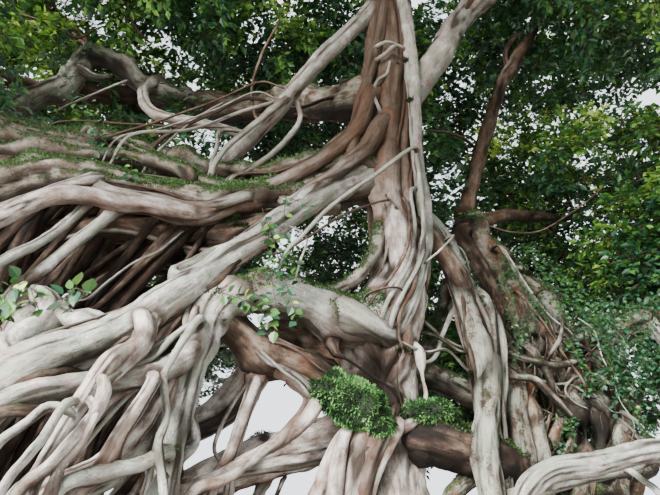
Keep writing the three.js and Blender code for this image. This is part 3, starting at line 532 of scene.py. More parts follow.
# How the bark stands out. Shares are of the limb's radius, sizes in metres.
barkRelief = {
    "twist": 0.35, "twistRate": 1.3,  # how far the strands wind to and fro, in radians, and how soon
    "strandDepth": 0.13, "strandAround": 1.25, "strandAlong": 0.5,  # fused strands that run along a limb
    "fineDepth": 0.055, "fineAround": 3.1, "fineAlong": 1.3,
    "creaseWidth": 0.16, "creaseShare": 0.9, "fineCreaseWidth": 0.12, "fineCreaseShare": 0.4,
    "lumpDepth": 0.1, "lumpSize": 0.38, "smallLump": 2.3, "smallLumpShare": 0.4,
    "foldDepth": 0.004, "foldSize": 0.05, "foldAround": 0.8,  # wrinkles across the limb
    "grainDepth": 0.007, "grainSize": 0.06,
    "knotCount": 1.3, "knotDepth": 0.028, "knotWidth": 0.045,  # knots for each metre
    "knotCrease": 0.9, "bumpCrease": 0.15,
    "burlWidth": 0.06, "burlSpread": 0.07, "burlHeight": 0.9,
    "gnarlSize": 0.55,
}
# Limbs that differ: how deep their strands are, how lumpy they are, how far they fuse, how many burls a metre
# they have, how far they wander in shares of their radius, their bark, and a place that they run on to
characterRows = [
    ("trunk", 1.7, 0.8, 1.0, 0, 0),
    ("clinging_root", 0.8, 1.2, 0.2, 0, 0),
    ("second_trunk", 2.4, 2.6, 1.0, 7, 0.4, "gnarled"),
    ("second_strand", 2.0, 2.2, 1.0, 3, 0.5, "gnarled"),
    ("right_pillar", 2.2, 1.6, 0.8, 0, 0, "rough"),
    ("far_pillar", 2.0, 2.6, 1.0, 3, 0.4, "gnarled"),
    ("low_right_bough", 1.8, 2.6, 1.0, 2, 0.8, "gnarled"),
    ("low_cross_limb", 2.0, 2.2, 1.5, 0, 0, "damp", (1.35, 0.62, 1.9)),
    ("heel_arm", 1.0, 1.4, 1.5, 0, 0, "pale"),
    ("right_bough", 0.9, 1.6, 1.0, 0, 0, "pale"),
    ("diagonal_root", 0.8, 1.7, 1.1, 0, 0.35),
    ("back_left_bough", 1.6, 2.6, 1.0, 2, 1.1, "gnarled"),
    ("right_wall", 2.0, 2.2, 0.7, 1, 0.8),
    ("heel_log", 1.8, 2.4, 1.2, 2, 0.5),
    ("broken_limb", 1.8, 1.8, 0.6, 0, 0.6),
    ("hollow_arch", 1.6, 3.0, 1.2, 4, 1.0),
    ("second_pillar", 1.8, 2.0, 1.0, 2, 0.6),
    ("bough_crook", 1.6, 2.8, 1.0, 3, 0.8),
    ("knob_root_b knob_root_c knob_root_d", 1.6, 3.0, 1.2, 5, 1.0),
    ("stub_pillar_a stub_pillar_b", 1.8, 3.0, 1.0, 4, 1.0),
    ("knuckle_root knuckle_root_low", 1.0, 2.4, 1.0, 2, 0),
    ("shelf_root_middle shelf_root_top", 1.8, 2.2, 1.3, 2, 0),
    ("ridge_root ridge_root_left ridge_root_back", 1.5, 2.6, 1.0, 2, 0.8),
]
barkCharacter = {name: dict(zip(("strand", "lump", "fuse", "burls", "gnarl", "bark", "beyond"), row))
    for names, *row in characterRows for name in names.split()}
plainCharacter = {"strand": 1.2, "lump": 1.4, "fuse": 1.0, "burls": 0, "gnarl": 0.35}
# Hollows dented into the wood and darkened with painted shade: middle, width and depth
hollows = [((-0.42, -0.42, 2.86), 0.17, 0.3), ((-0.2, -0.42, 2.74), 0.15, 0.3),
    ((-0.12, -0.3, 3.98), 0.07, 0.12), ((2.2, 0.62, 2.35), 0.14, 0.2), ((-0.13, -0.3, 4.5), 0.022, 0.05),
    ((0.13, -0.33, 4.28), 0.022, 0.05), ((0.05, -0.32, 4.78), 0.02, 0.05), ((-0.2, -0.2, 4.95), 0.025, 0.05),
    ((0.12, -0.3, 2.75), 0.06, 0.14), ((-0.02, -0.42, 2.66), 0.12, 0.26)]
hollowShade = 1.6


# Height of the bark and how far each point lies in a crease: rounded strands along the limb with sharp
# creases between them (the size of a stretched noise), broad lumps, wrinkles across, grain and knots and
# burls (bells at seeded places: the normal curve of the gap measured round and along)
def relief(turn, distance, radius, points, seed, character):
    s = barkRelief
    twist = turn + s["twist"] * np.sin(distance * s["twistRate"] + seed)

    def strandsAt(around, along, seedStep, noiseSeed):
        at = [np.cos(twist) * around, np.sin(twist) * around, distance * along + seed * seedStep]
        return np.abs(latticeNoise(np.stack(at, axis=-1), noiseSeed))

    def bellAt(k, placeKey, turnKey, width):
        where = chance(seed + placeKey, k) * distance.max()
        angle = chance(seed + turnKey, k) * 2 * math.pi
        gap = (np.angle(np.exp(1j * (turn - angle))) * radius) ** 2 + (distance - where) ** 2
        return np.exp(-gap / (2 * width ** 2))

    broad = strandsAt(s["strandAround"], s["strandAlong"], 7.3, seed)
    fine = strandsAt(s["fineAround"], s["fineAlong"], 3.1, seed + 5)
    lumps = latticeNoise(points / s["lumpSize"], seed + 11) + s["smallLumpShare"] * latticeNoise(
        points / s["lumpSize"] * s["smallLump"], seed + 13)
    across = [np.cos(turn) * s["foldAround"], np.sin(turn) * s["foldAround"], distance / s["foldSize"]]
    folds = latticeNoise(np.stack(across, axis=-1), seed + 17)
    grain = latticeNoise(points / s["grainSize"], seed + 23)
    strands = s["strandDepth"] * (1.5 * broad - 0.5) + s["fineDepth"] * (1.5 * fine - 0.5)
    height = radius * (character["strand"] * strands + character["lump"] * s["lumpDepth"] * lumps)
    height = height + s["foldDepth"] * folds + s["grainDepth"] * grain * np.minimum(radius / 0.15, 1.5)
    crease = np.clip(1 - broad / s["creaseWidth"], 0, 1) * s["creaseShare"] \
        + np.clip(1 - fine / s["fineCreaseWidth"], 0, 1) * s["fineCreaseShare"]
    for k in range(int(s["knotCount"] * distance.max() * character["lump"]) + 1):
        bell = bellAt(k, 3.1, 5.7, s["knotWidth"]) * np.minimum(radius / 0.2, 1)
        size = (chance(seed + 9.2, k) - 0.45) * 2
        height = height + s["knotDepth"] * size * bell
        crease = crease + bell * (s["knotCrease"] if size < -0.2 else s["bumpCrease"])
    for k in range(int(character["burls"] * distance.max())):
        width = s["burlWidth"] + s["burlSpread"] * chance(seed + 19.2, k)
        height = height + s["burlHeight"] * width * bellAt(k, 13.1, 15.7, width)
    return height, np.clip(crease, 0, 1)


# Places along every limb with the radius there, for fusing limbs and for keeping leaves off them
woodPlaces = {}
woodSpacing = 0.045


def noteWood(name, way, radii):
    places, length = evenPlaces(way, woodSpacing)
    woodPlaces[name] = (curvePoints(way, places), radiusAt(radii, places))


noteWood("trunk", trunk["way"], trunk["radii"])
for limbName, limb in limbs.items():
    noteWood(limbName, limb["way"], limb["radii"])
allWood = np.concatenate([w[0] for w in woodPlaces.values()])
allWoodRadii = np.concatenate([w[1] for w in woodPlaces.values()])

# How limbs grow together: the share of the smaller radius over which they do and the most that it is, how
# far off another is looked for, how they sink into each other, and how near another limb the bark takes
# painted shade
fusing = {"share": 1.5, "most": 0.3, "look": 0.35, "inside": 0.9, "deepest": 0.62, "shaded": 0.07}


# How far a limb swells where another is near, as in a smooth union of two rounded bodies (the square of
# their nearness), and how near the other is. Inside the other it shrinks, so that no end shows.
def fusedRise(name, points, radius, fuse):
    flatPoints = points.reshape(-1, 3).astype(np.float32)
    flatRadius = radius.reshape(-1).astype(np.float32)
    low, high = flatPoints.min(0) - fusing["look"], flatPoints.max(0) + fusing["look"]
    rise, near = np.zeros(len(flatPoints), np.float32), np.zeros(len(flatPoints), np.float32)
    for other, (middles, radii) in woodPlaces.items():
        if other == name:
            continue
        close = np.all((middles > low - radii[:, None]) & (middles < high + radii[:, None]), axis=1)
        if not close.any():
            continue
        m, r = middles[close].astype(np.float32), radii[close].astype(np.float32)
        square = (flatPoints ** 2).sum(1)[:, None] - 2 * flatPoints @ m.T + (m ** 2).sum(1)[None]
        gap = np.sqrt(np.maximum(square, 1e-8)) - r[None]
        which = gap.argmin(1)
        gap = gap[np.arange(len(gap)), which]
        width = np.minimum(fusing["share"] * fuse * np.minimum(flatRadius, r[which]), fusing["most"])
        share = np.clip(1 - gap / np.maximum(width, 1e-4), 0, 1)
        swell = np.where(gap > 0, share ** 2 * width / 4, width / 4 + gap * fusing["inside"])
        rise = np.where(gap <= 0, np.where(rise < 0, np.minimum(rise, swell), swell),
            np.where(rise < 0, rise, np.maximum(rise, swell)))
        near = np.maximum(near, np.clip(1 - gap / fusing["shaded"], 0, 1))
    rise = np.maximum(rise, -fusing["deepest"] * flatRadius)
    return rise.reshape(radius.shape), near.reshape(radius.shape)


# How a tube stands and ends: the widening at a foot and its height, the flutes' depth above and in the flare,
# the stretch over which relief fades out, over how many radii an end is rounded and by what share, and the
# most that bark sinks, as a share of the radius
tubeRule = {"footWidens": 0.45, "footHeight": 0.26, "fluteAbove": 0.6, "fluteInFlare": 1.6, "fadeOut": 0.08,
    "roundOver": 1.6, "roundBy": 0.7, "deepest": 0.85}


# A tube along a curve: its radius tapers, widens at a foot, and takes the bark's relief and the swelling at
# its joints. Gives the points, the faces and, for each point, how deep in a crease and how near to another
# limb it is.
def tubeSurface(name, way, radii, seed, spacing, sides, standing=False, flat=1, fluted=None,
        taper=(True, True)):
    t = tubeRule
    character = barkCharacter.get(name, plainCharacter)
    places, length = evenPlaces(way, spacing, standing)
    middles = curvePoints(way, places)
    wander = [latticeNoise(middles / barkRelief["gnarlSize"], seed + n) for n in (31, 37, 41)]
    middles = middles + np.stack(wander, axis=-1) * (character["gnarl"] * radiusAt(radii, places)
        * np.sin(math.pi * places))[:, None]
    along, level, over = framesAlong(middles)
    height = np.maximum(middles[:, 2], 0)
    radius = radiusAt(radii, places)[:, None]
    turn = turnsRound(len(places), sides)
    if fluted:
        level, over = np.tile([1.0, 0, 0], (len(places), 1)), np.tile([0, 1.0, 0], (len(places), 1))
        flare = np.exp(-height / fluted["flareHeight"])[:, None]
        depth = fluted["fluteDepth"] * (t["fluteAbove"] + t["fluteInFlare"] * flare)
        radius = (radius + fluted["flare"] * flare) * (1 + depth
            * np.cos(fluted["flutes"] * turn + fluted["fluteTwist"] * places[:, None]))
    elif standing:
        radius = radius * (1 + t["footWidens"] * np.exp(-height / t["footHeight"]))[:, None]
    radius = np.broadcast_to(radius, turn.shape)
    distance = np.tile(np.linspace(0, length, len(places))[:, None], (1, sides))
    out = outwardAt(turn, level, over, flat)
    points = middles[:, None] + out * radius[..., None]
    height, crease = relief(turn, distance, radius, points, seed, character)
    swell, near = fusedRise(name, points, radius, character["fuse"])
    ends = np.clip(np.minimum(distance, length - distance + (9 if standing else 0)) / t["fadeOut"], 0, 1)
    rise = (height + swell) * ends
    # each hollow dents the bark and raises its crease value, which darkens it with painted shade
    for place, width, depth in hollows:
        bell = np.exp(-np.sum((points - np.array(place)) ** 2, axis=-1) / (2 * width ** 2))
        rise = rise - depth * bell
        crease = np.maximum(crease, np.clip(bell * hollowShade, 0, 1))
    # ends are rounded off to a third of their radius
    tip = np.clip(distance / (t["roundOver"] * radius), 0, 1) if taper[0] else 1
    tail = np.clip((length - distance) / (t["roundOver"] * radius), 0, 1) if taper[1] and not standing else 1
    rounded = 1 - np.sqrt(tip * (2 - tip) * tail * (2 - tail)) if taper[0] or taper[1] else 0
    rise = rise - radius * t["roundBy"] * rounded
    points = points + unit(out) * (np.maximum(rise, -t["deepest"] * radius))[..., None]
    if standing:
        points[..., 2] = np.maximum(points[..., 2], 0)
        points[-1 if middles[-1, 2] < middles[0, 2] else 0, :, 2] = 0
    zeros = np.zeros(2)  # the middles of the two end caps follow the rings
    limbPlace = np.stack([np.cos(turn) * radius, np.sin(turn) * radius, distance + seed * 3.7], axis=-1)
    return {"points": withCaps(points), "faces": tubeFaces(len(places), sides),
        "crease": np.concatenate([crease.ravel(), zeros]), "near": np.concatenate([near.ravel(), zeros]),
        "limbPlace": np.concatenate([limbPlace.reshape(-1, 3), limbPlace[0, :1], limbPlace[-1, :1]])}


# Joins tubes, each with its points and its quads and caps
def joinedSurfaces(surfaces):
    (points, quads), (points, caps) = (joined([(s["points"], s["faces"][part]) for s in surfaces])
        for part in (0, 1))
    return points, [quads, caps]


# Joins surfaces into one piece and keeps what the bark reads as values on the points
def barkPiece(name, surfaces, bark):
    slotName = barkSlots.get(bark, bark + "_bark")
    piece = meshPiece(name, *joinedSurfaces(surfaces), barks[bark], slotName)
    for key, kind, field in (("crease", "FLOAT", "value"), ("near", "FLOAT", "value"),
            ("limbPlace", "FLOAT_VECTOR", "vector")):
        layer = piece.data.attributes.new(key, kind, "POINT")
        layer.data.foreach_set(field, np.concatenate([s[key] for s in surfaces]).astype(np.float32).ravel())
    return piece


# Where moss can grow: points and normals of the pieces that carry it, and how much of them it covers
mossGround = []
mossShares = {"shelf_root_top": 0.95, "shelf_root_middle": 0.85, "second_trunk": 0.6, "low_cross_limb": 0.5,
    "heel_arm": 0.66, "slab_root": 0.1, "strands_mossy_0": 0.85, "right_pillar": 0.2, "curved_prop_root": 0.1,
    "second_strand": 0.5, "far_pillar": 0.5}


# Numbers read from a layer of a mesh
def readLayer(layer, field, count):
    values = np.empty(count, np.float32)
    layer.foreach_get(field, values)
    return values


# Keeps a piece's points and normals where moss grows on it
def keepMossGround(piece, name):
    if name not in mossShares:
        return
    mesh, count = piece.data, len(piece.data.vertices)
    points, normals = (readLayer(mesh.vertices, field, count * 3).reshape(-1, 3)
        for field in ("co", "normal"))
    valley, crease = (readLayer(mesh.attributes[key].data, "value", count) for key in ("near", "crease"))
    mossGround.append((points, normals, mossShares[name], valley + crease))


# Roots followed on the photograph that are too thin for solids: the bark, the way as pixels and depth
# (across, down, depth), the radius in pixels at either end, and True where it runs on into the ground
tracedStrands = {
    "ridge_root": ("mossy", [(92, 128, -0.2), (107, 135, -0.25), (160, 158, -0.3), (195, 177, -0.3),
        (235, 186, -0.3), (280, 184, -0.2)], 4, 5),
    "ridge_root_left": ("mossy", [(-15, 150, -0.6), (40, 146, -0.5), (90, 152, -0.4), (140, 160, -0.35),
        (190, 176, -0.35)], 6, 5),
    "ridge_root_back": ("mossy", [(-15, 133, 0.1), (60, 131, 0.1), (130, 145, 0), (200, 166, 0),
        (260, 172, 0), (330, 158, 0)], 6, 6),
    "lip_strand": ("pale", [(-15, 217, -1.3), (25, 200, -1.1), (65, 186, -0.85), (95, 180, -0.75)], 6, 7),
    "lip_strand_low": ("pale", [(95, 186, -0.72), (150, 199, -0.55), (200, 209, -0.45), (245, 196, -0.4)], 7,
        5),
    "hollow_loop": ("pale", [(172, 236, 0.2), (186, 246, 0.05), (198, 262, 0)], 3.5, 4),
    "hollow_loop_right": ("pale", [(192, 240, 0.2), (201, 250, 0.1), (198, 262, 0)], 2.5, 2.5),
    "banded_root": ("pale", [(235, 246, -0.1), (217, 252, -0.35), (198, 262, -0.6), (176, 276, -0.95)], 6, 9),
    "hollow_root": ("brown", [(200, 262, 0.25), (172, 271, 0.3), (138, 268, 0.2), (100, 284, 0.1),
        (60, 318, -0.1), (20, 360, -0.3), (0, 400, -0.4)], 6, 8, True),
    "hollow_root_low": ("brown", [(215, 300, 0.3), (160, 296, 0.3), (110, 300, 0.2), (60, 335, 0.1),
        (30, 380, -0.1)], 9, 9, True),
    "hollow_root_left": ("brown", [(150, 225, 0.5), (96, 262, 0.4), (72, 268, 0.3), (42, 285, 0.1),
        (5, 330, -0.1)], 6, 7, True),
    "hollow_root_fork": ("brown", [(80, 262, 0.35), (92, 276, 0.3), (101, 292, 0.2)], 5, 4),
    "knuckle_root": ("pale", [(5, 340, -1.2), (24, 322, -1.15), (50, 308, -1.1), (66, 318, -1.15),
        (98, 322, -1.25)], 10, 9),
    "knuckle_root_low": ("pale", [(50, 306, -1.1), (36, 330, -1.3), (10, 345, -1.5)], 15, 11),
    "fan_a": ("pale", [(70, 412, -2.4), (50, 407, -2.45), (25, 425, -2.5), (-8, 452, -2.6)], 4, 5, True),
    "fan_b": ("pale", [(62, 408, -2.45), (44, 436, -2.5), (28, 455, -2.55), (2, 488, -2.6)], 5, 5.5, True),
    "fan_c": ("smooth", [(104, 392, -2.25), (92, 418, -2.25), (75, 437, -2.3), (50, 464, -2.35),
        (15, 496, -2.4)], 6, 7, True),
    "fan_d": ("smooth", [(96, 414, -2.25), (80, 445, -2.28), (62, 465, -2.3), (50, 498, -2.35)], 5, 6, True),
    "fan_e": ("smooth", [(152, 385, -1.9), (135, 414, -1.95), (118, 438, -2), (98, 472, -2.05),
        (72, 496, -2.1)], 8, 12, True),
    "fan_f": ("pale", [(168, 452, -1.6), (140, 464, -1.9), (100, 472, -2.1), (55, 492, -2.3)], 8, 8, True),
    "fan_g": ("pale", [(200, 318, -1.35), (176, 352, -1.65), (164, 375, -1.75), (166, 418, -1.75),
        (158, 445, -1.8), (164, 496, -1.8)], 3.5, 5, True),
    "fan_h": ("pale", [(198, 320, -1.3), (176, 334, -1.4), (151, 359, -1.6), (128, 367, -1.8),
        (100, 385, -2.1)], 3, 4),
    "fan_i": ("pale", [(196, 318, -1.2), (182, 330, -1.3), (158, 344, -1.4), (140, 352, -1.5)], 3, 3),
    "fan_j": ("smooth", [(142, 318, -1.5), (143, 342, -1.6), (127, 362, -1.8), (106, 383, -2)], 9, 7),
    "fan_k": ("brown", [(108, 394, -1.6), (75, 411, -1.9), (30, 413, -2.1), (-10, 420, -2.3)], 5, 6, True),
    "fan_l": ("brown", [(140, 350, -1.2), (95, 374, -1.5), (60, 372, -1.8), (10, 395, -2)], 5, 6, True),
    "fan_m": ("smooth", [(60, 440, -2.2), (40, 470, -2.3), (8, 498, -2.4)], 3, 3.5, True),
    "fan_n": ("pale", [(196, 440, -1.1), (170, 470, -1.4), (150, 496, -1.6)], 5, 6, True),
    "window_root": ("smooth", [(258, 376, -0.6), (250, 396, -0.7), (240, 428, -0.8), (229, 458, -0.9),
        (212, 492, -1)], 6, 5, True),
    "window_root_thin": ("smooth", [(252, 380, -0.6), (238, 396, -0.7), (222, 425, -0.8), (214, 450, -0.9)],
        2, 2),
    "window_root_right": ("smooth", [(290, 380, -0.45), (309, 396, -0.5), (290, 430, -0.7), (252, 460, -1),
        (222, 480, -1.2), (190, 494, -1.4)], 4, 6, True),
    "heel_strand": ("pale", [(246, 343, -0.75), (268, 362, -0.72), (292, 372, -0.66), (314, 392, -0.62),
        (318, 408, -0.6)], 2, 3.5),
    "heel_strand_low": ("pale", [(262, 352, -0.75), (284, 372, -0.7), (300, 384, -0.66), (312, 400, -0.62)],
        1.6, 2),
    "heel_wall": ("brown", [(262, 330, 0.2), (300, 345, 0.2), (340, 360, 0.15), (380, 372, 0.1)], 22, 18),
    "heel_wall_low": ("brown", [(250, 350, 0.3), (290, 365, 0.25), (330, 385, 0.2), (375, 405, 0.1)], 16, 20),
    "low_pillar": ("smooth", [(401, 352, -0.32), (398, 372, -0.36), (400, 396, -0.38), (404, 412, -0.36)], 6,
        6),
    "low_pillar_right": ("smooth", [(418, 350, -0.28), (420, 372, -0.32), (424, 396, -0.36),
        (416, 418, -0.36), (404, 426, -0.4)], 5, 6),
    "low_bridge": ("smooth", [(400, 395, -0.3), (385, 418, -0.42), (376, 436, -0.52), (358, 492, -0.6)], 10,
        12, True),
    "low_root_left": ("smooth", [(352, 424, -0.55), (345, 440, -0.62), (334, 494, -0.75)], 6, 7, True),
    "low_root_right": ("smooth", [(400, 424, -0.45), (390, 446, -0.5), (370, 494, -0.6)], 6, 6, True),
    "heel_log": ("damp", [(392, 438, -0.2), (425, 441, -0.15), (455, 449, -0.1), (486, 470, 0)], 12, 15),
    "heel_log_root": ("gnarled", [(480, 462, 0.05), (466, 480, 0), (448, 500, -0.05)], 8, 9, True),
    "stem_bundle_a": ("pale", [(416, 150, -0.42), (421, 190, -0.42), (424, 232, -0.44), (420, 262, -0.46),
        (406, 288, -0.48), (394, 312, -0.48), (388, 338, -0.46)], 2.5, 3),
    "stem_bundle_b": ("pale", [(411, 190, -0.4), (415, 226, -0.44), (412, 254, -0.48), (399, 280, -0.5),
        (386, 304, -0.5), (379, 332, -0.48)], 2, 2.5),
    "stem_bundle_c": ("brown", [(405, 200, -0.4), (409, 232, -0.44), (404, 256, -0.48), (391, 278, -0.5),
        (372, 300, -0.5)], 1.6, 1.8),
    "stem_bundle_d": ("brown", [(417, 268, -0.42), (412, 290, -0.44), (400, 310, -0.46), (398, 336, -0.46),
        (402, 350, -0.42)], 2.5, 2.5),
    "stem_elbow": ("brown", [(420, 232, -0.2), (436, 248, -0.1), (450, 264, 0), (464, 290, 0.1),
        (474, 318, 0.15)], 12, 6),
    "heel_tie_a": ("brown", [(366, 296, -0.5), (378, 290, -0.56), (398, 288, -0.54)], 1.2, 1.2),
    "heel_tie_b": ("brown", [(358, 310, -0.5), (368, 314, -0.55), (378, 332, -0.55), (392, 345, -0.52)], 1.3,
        1.2),
    "heel_tie_c": ("brown", [(362, 306, -0.52), (374, 314, -0.56), (382, 330, -0.56)], 1.2, 1.2),
    "heel_tie_d": ("brown", [(386, 196, -0.36), (397, 206, -0.42), (412, 220, -0.42)], 1, 1),
    "leaning_stick": ("pale", [(413, 148, -0.62), (372, 177, -0.72), (326, 210, -0.85), (300, 238, -0.95),
        (288, 250, -1)], 2.2, 1.8),
    "hanging_thread": ("pale", [(307, 238, -0.9), (300, 262, -0.92), (291, 288, -0.95)], 1.2, 1),
    "cross_thread": ("brown", [(272, 254, -0.7), (310, 236, -0.6), (345, 214, -0.5), (388, 200, -0.4)], 1.2,
        1.2),
    "elbow_thread": ("pale", [(426, 262, -0.4), (440, 250, -0.45), (453, 236, -0.4)], 1.2, 1.2),
    "right_stick": ("pale", [(456, 308, 0.2), (444, 332, 0.15), (432, 360, 0.1)], 2.6, 2),
    "right_stump": ("mossy", [(448, 300, 0.55), (438, 326, 0.5), (428, 352, 0.45), (418, 380, 0.4)], 8, 10),
    "right_tangle_a": ("gnarled", [(388, 342, -0.4), (412, 332, -0.2), (436, 336, 0), (462, 352, 0.1)], 2, 2),
    "right_tangle_b": ("pale", [(395, 338, -0.4), (424, 352, -0.3), (448, 350, -0.1), (470, 372, 0)], 1.6,
        1.6),
    "right_tangle_c": ("gnarled", [(400, 300, 0), (424, 322, 0.1), (452, 344, 0.2), (476, 352, 0.2)], 2, 2.4),
    "pillar_strand_a": ("rough", [(486, 296, 0.1), (492, 330, 0.06), (492, 362, 0.04), (486, 392, 0.02)], 4.5,
        5),
    "pillar_strand_b": ("rough", [(492, 312, 0.12), (503, 338, 0.1), (503, 368, 0.08), (499, 404, 0.06),
        (496, 440, 0.02)], 4.5, 6),
    "second_pillar": ("gnarled", [(536, 372, 0.55), (529, 404, 0.5), (537, 438, 0.45), (544, 468, 0.4),
        (546, 496, 0.4)], 9, 10, True),
    "hollow_arch": ("gnarled", [(556, 440, 0.55), (562, 424, 0.5), (578, 416, 0.5), (596, 424, 0.5),
        (600, 446, 0.5), (600, 470, 0.5)], 7, 7),
    "stub_pillar_a": ("gnarled", [(598, 406, 0.6), (600, 432, 0.55), (604, 462, 0.5), (606, 496, 0.5)], 8, 9,
        True),
    "stub_pillar_b": ("gnarled", [(626, 402, 0.7), (618, 430, 0.65), (616, 456, 0.6), (618, 496, 0.6)], 8, 11,
        True),
    "knob_root_c": ("gnarled", [(500, 340, 0.5), (516, 372, 0.4), (512, 410, 0.35), (520, 450, 0.35),
        (516, 496, 0.4)], 10, 12, True),
    "knob_root_d": ("gnarled", [(560, 470, 0.5), (580, 466, 0.45), (604, 470, 0.5), (640, 452, 0.7)], 9, 9),
    "ground_slab": ("pale", [(520, 494, -0.3), (556, 482, -0.2), (590, 474, -0.1), (622, 470, 0),
        (664, 452, 0.2)], 9, 6),
    "ground_twig": ("pale", [(628, 470, -0.1), (642, 480, -0.2), (662, 497, -0.3)], 3.5, 3.5, True),
    "aerial_a": ("pale", [(338, 40, -0.1), (300, 86, -0.2), (262, 118, -0.3), (225, 150, -0.3),
        (212, 172, -0.3)], 3, 3),
    "aerial_b": ("pale", [(290, 96, -0.25), (240, 112, -0.3), (190, 130, -0.4), (130, 136, -0.5)], 2, 1.6),
    "aerial_c": ("brown", [(330, 98, 0.3), (296, 108, 0.2), (250, 98, 0.1), (215, 112, 0), (160, 140, -0.2)],
        2, 2),
    "aerial_d": ("pale", [(300, 118, 0), (276, 150, -0.1), (252, 168, -0.1), (225, 184, -0.2)], 3.2, 3),
    "aerial_e": ("brown", [(350, 130, -0.1), (312, 158, -0.15), (278, 172, -0.2), (236, 176, -0.25)], 2.4, 2),
    "aerial_g": ("brown", [(280, 20, 0.5), (262, 54, 0.4), (252, 90, 0.2), (256, 118, 0.1)], 1.5, 1.5),
    "stem_stub_a": ("pale", [(374, 50, -0.34), (381, 44, -0.44), (388, 42, -0.46)], 2.2, 1.4),
    "stem_stub_b": ("pale", [(373, 64, -0.34), (384, 56, -0.42), (396, 46, -0.4)], 2.2, 1.8),
    "stem_strand": ("pale", [(390, 62, -0.34), (387, 74, -0.38), (378, 80, -0.4), (374, 94, -0.4),
        (378, 106, -0.4)], 1.8, 2),
    "stem_strand_left": ("smooth", [(384, 0, -0.26), (376, 44, -0.3), (366, 90, -0.36), (357, 124, -0.36),
        (352, 160, -0.36)], 5, 6),
    "heel_log_end": ("damp", [(440, 442, 0.05), (475, 456, 0.25), (505, 472, 0.45), (540, 492, 0.65)], 15,
        11),
    "hollow_thread": ("pale", [(190, 228, -0.2), (160, 250, -0.4), (135, 262, -0.5), (108, 282, -0.7),
        (82, 300, -0.9)], 1.2, 1.2),
    "right_thread": ("pale", [(578, 318, 0.25), (594, 330, 0.25), (602, 356, 0.25), (612, 376, 0.25),
        (620, 400, 0.25), (634, 424, 0.25)], 0.8, 0.7),
    "tangle_a": ("brown", [(518, 292, 0.45), (540, 318, 0.3), (562, 352, 0.25), (586, 388, 0.3)], 1.3, 1.2),
    "tangle_b": ("pale", [(462, 250, 0.2), (474, 290, 0.1), (488, 318, 0.1), (498, 352, 0.1)], 1.1, 0.9),
    "tangle_c": ("gnarled", [(500, 246, 0.5), (518, 276, 0.35), (545, 316, 0.3), (560, 352, 0.3)], 2, 1.8),
    "tangle_d": ("pale", [(505, 250, 0.4), (530, 290, 0.25), (552, 318, 0.25), (572, 334, 0.3)], 1, 0.9),
    "tangle_e": ("rough", [(552, 352, 0.25), (560, 338, 0.2), (562, 322, 0.25)], 2.4, 1.6),
    "tangle_f": ("gnarled", [(506, 352, 0.3), (528, 360, 0.15), (552, 366, 0.2), (580, 360, 0.4)], 3, 4),
    "tangle_g": ("gnarled", [(520, 340, 0.35), (534, 352, 0.2), (548, 376, 0.2), (556, 400, 0.35)], 4, 3.5),
    "gap_root": ("damp", [(462, 236, 0.9), (478, 264, 0.85), (492, 300, 0.8), (500, 340, 0.8)], 9, 10),
    "bough_crook": ("rough", [(168, 92, 1.5), (134, 78, 1.35), (112, 64, 1.3), (92, 58, 1.3), (74, 68, 1.25),
        (52, 86, 1.2), (22, 106, 1.1), (-12, 122, 1.1)], 10, 12),
    "bough_fork": ("rough", [(112, 76, 1.3), (94, 78, 1.2), (78, 70, 1.2)], 4, 5),
    "bough_rise": ("brown", [(96, 62, 1.4), (84, 42, 1.5), (58, 18, 1.6), (44, -12, 1.7)], 7, 4),
    "stick_a": ("brown", [(112, 136, -0.4), (150, 124, -0.35), (185, 112, -0.3), (222, 98, -0.25),
        (262, 82, -0.2)], 1.4, 1.2),
    "stick_b": ("pale", [(58, 110, 0.6), (98, 92, 0.7), (128, 80, 0.8)], 1.2, 1),
    "stick_c": ("pale", [(150, 160, -0.3), (172, 138, -0.2), (196, 118, -0.1), (224, 102, 0)], 1.3, 1),
    "stick_d": ("rough", [(212, 162, -0.3), (217, 147, -0.3), (222, 131, -0.2)], 2.6, 2.2),
    "stick_e": ("brown", [(60, 122, 0), (128, 124, 0), (184, 127, -0.05), (236, 130, -0.1)], 1.1, 0.9),
    "stick_f": ("pale", [(118, 138, -0.45), (162, 128, -0.4), (214, 110, -0.3), (258, 92, -0.25)], 1, 0.9),
    "stick_g": ("brown", [(20, 14, 1.2), (58, 26, 1.1), (78, 38, 1.1), (102, 27, 1.1), (128, 30, 1.1)], 1.1,
        0.8),
    "stick_h": ("brown", [(132, -8, 1), (130, 16, 1), (140, 34, 1.05), (152, 44, 1.1)], 1.2, 0.9),
    "web_root": ("smooth", [(372, 96, -0.3), (356, 128, -0.35), (330, 152, -0.4), (300, 172, -0.4),
        (266, 188, -0.3), (236, 197, -0.1)], 9, 5),
    "web_root_low": ("smooth", [(384, 122, -0.32), (364, 152, -0.42), (342, 168, -0.5), (316, 186, -0.52),
        (290, 202, -0.35)], 9, 5),
    "knob_root_b": ("gnarled", [(548, 300, 0.7), (562, 330, 0.6), (574, 358, 0.55), (572, 392, 0.5),
        (584, 430, 0.5), (580, 496, 0.5)], 5, 6, True),
    "pillar_foot": ("rough", [(488, 352, 0.1), (489, 385, 0), (489, 412, -0.16), (488, 440, -0.3),
        (489, 468, -0.32), (493, 498, -0.32)], 10, 14, True),
    "broken_limb": ("gnarled", [(535, 380, 0.2), (548, 392, 0.22), (562, 406, 0.3), (576, 422, 0.5)], 3.2, 4),
    "right_wall": ("mossy", [(385, 356, 0.35), (412, 370, 0.34), (440, 382, 0.36), (468, 394, 0.46),
        (500, 406, 0.7)], 12, 12),
    "bough_curl": ("pale", [(158, 84, 1.4), (146, 90, 1.15), (146, 104, 0.85), (166, 117, 0.5),
        (200, 123, 0.3), (236, 133, 0.05)], 7, 3.5),
    "heel_bulge": ("pale", [(312, 300, -0.15), (340, 317, -0.46), (364, 330, -0.52), (382, 338, -0.4),
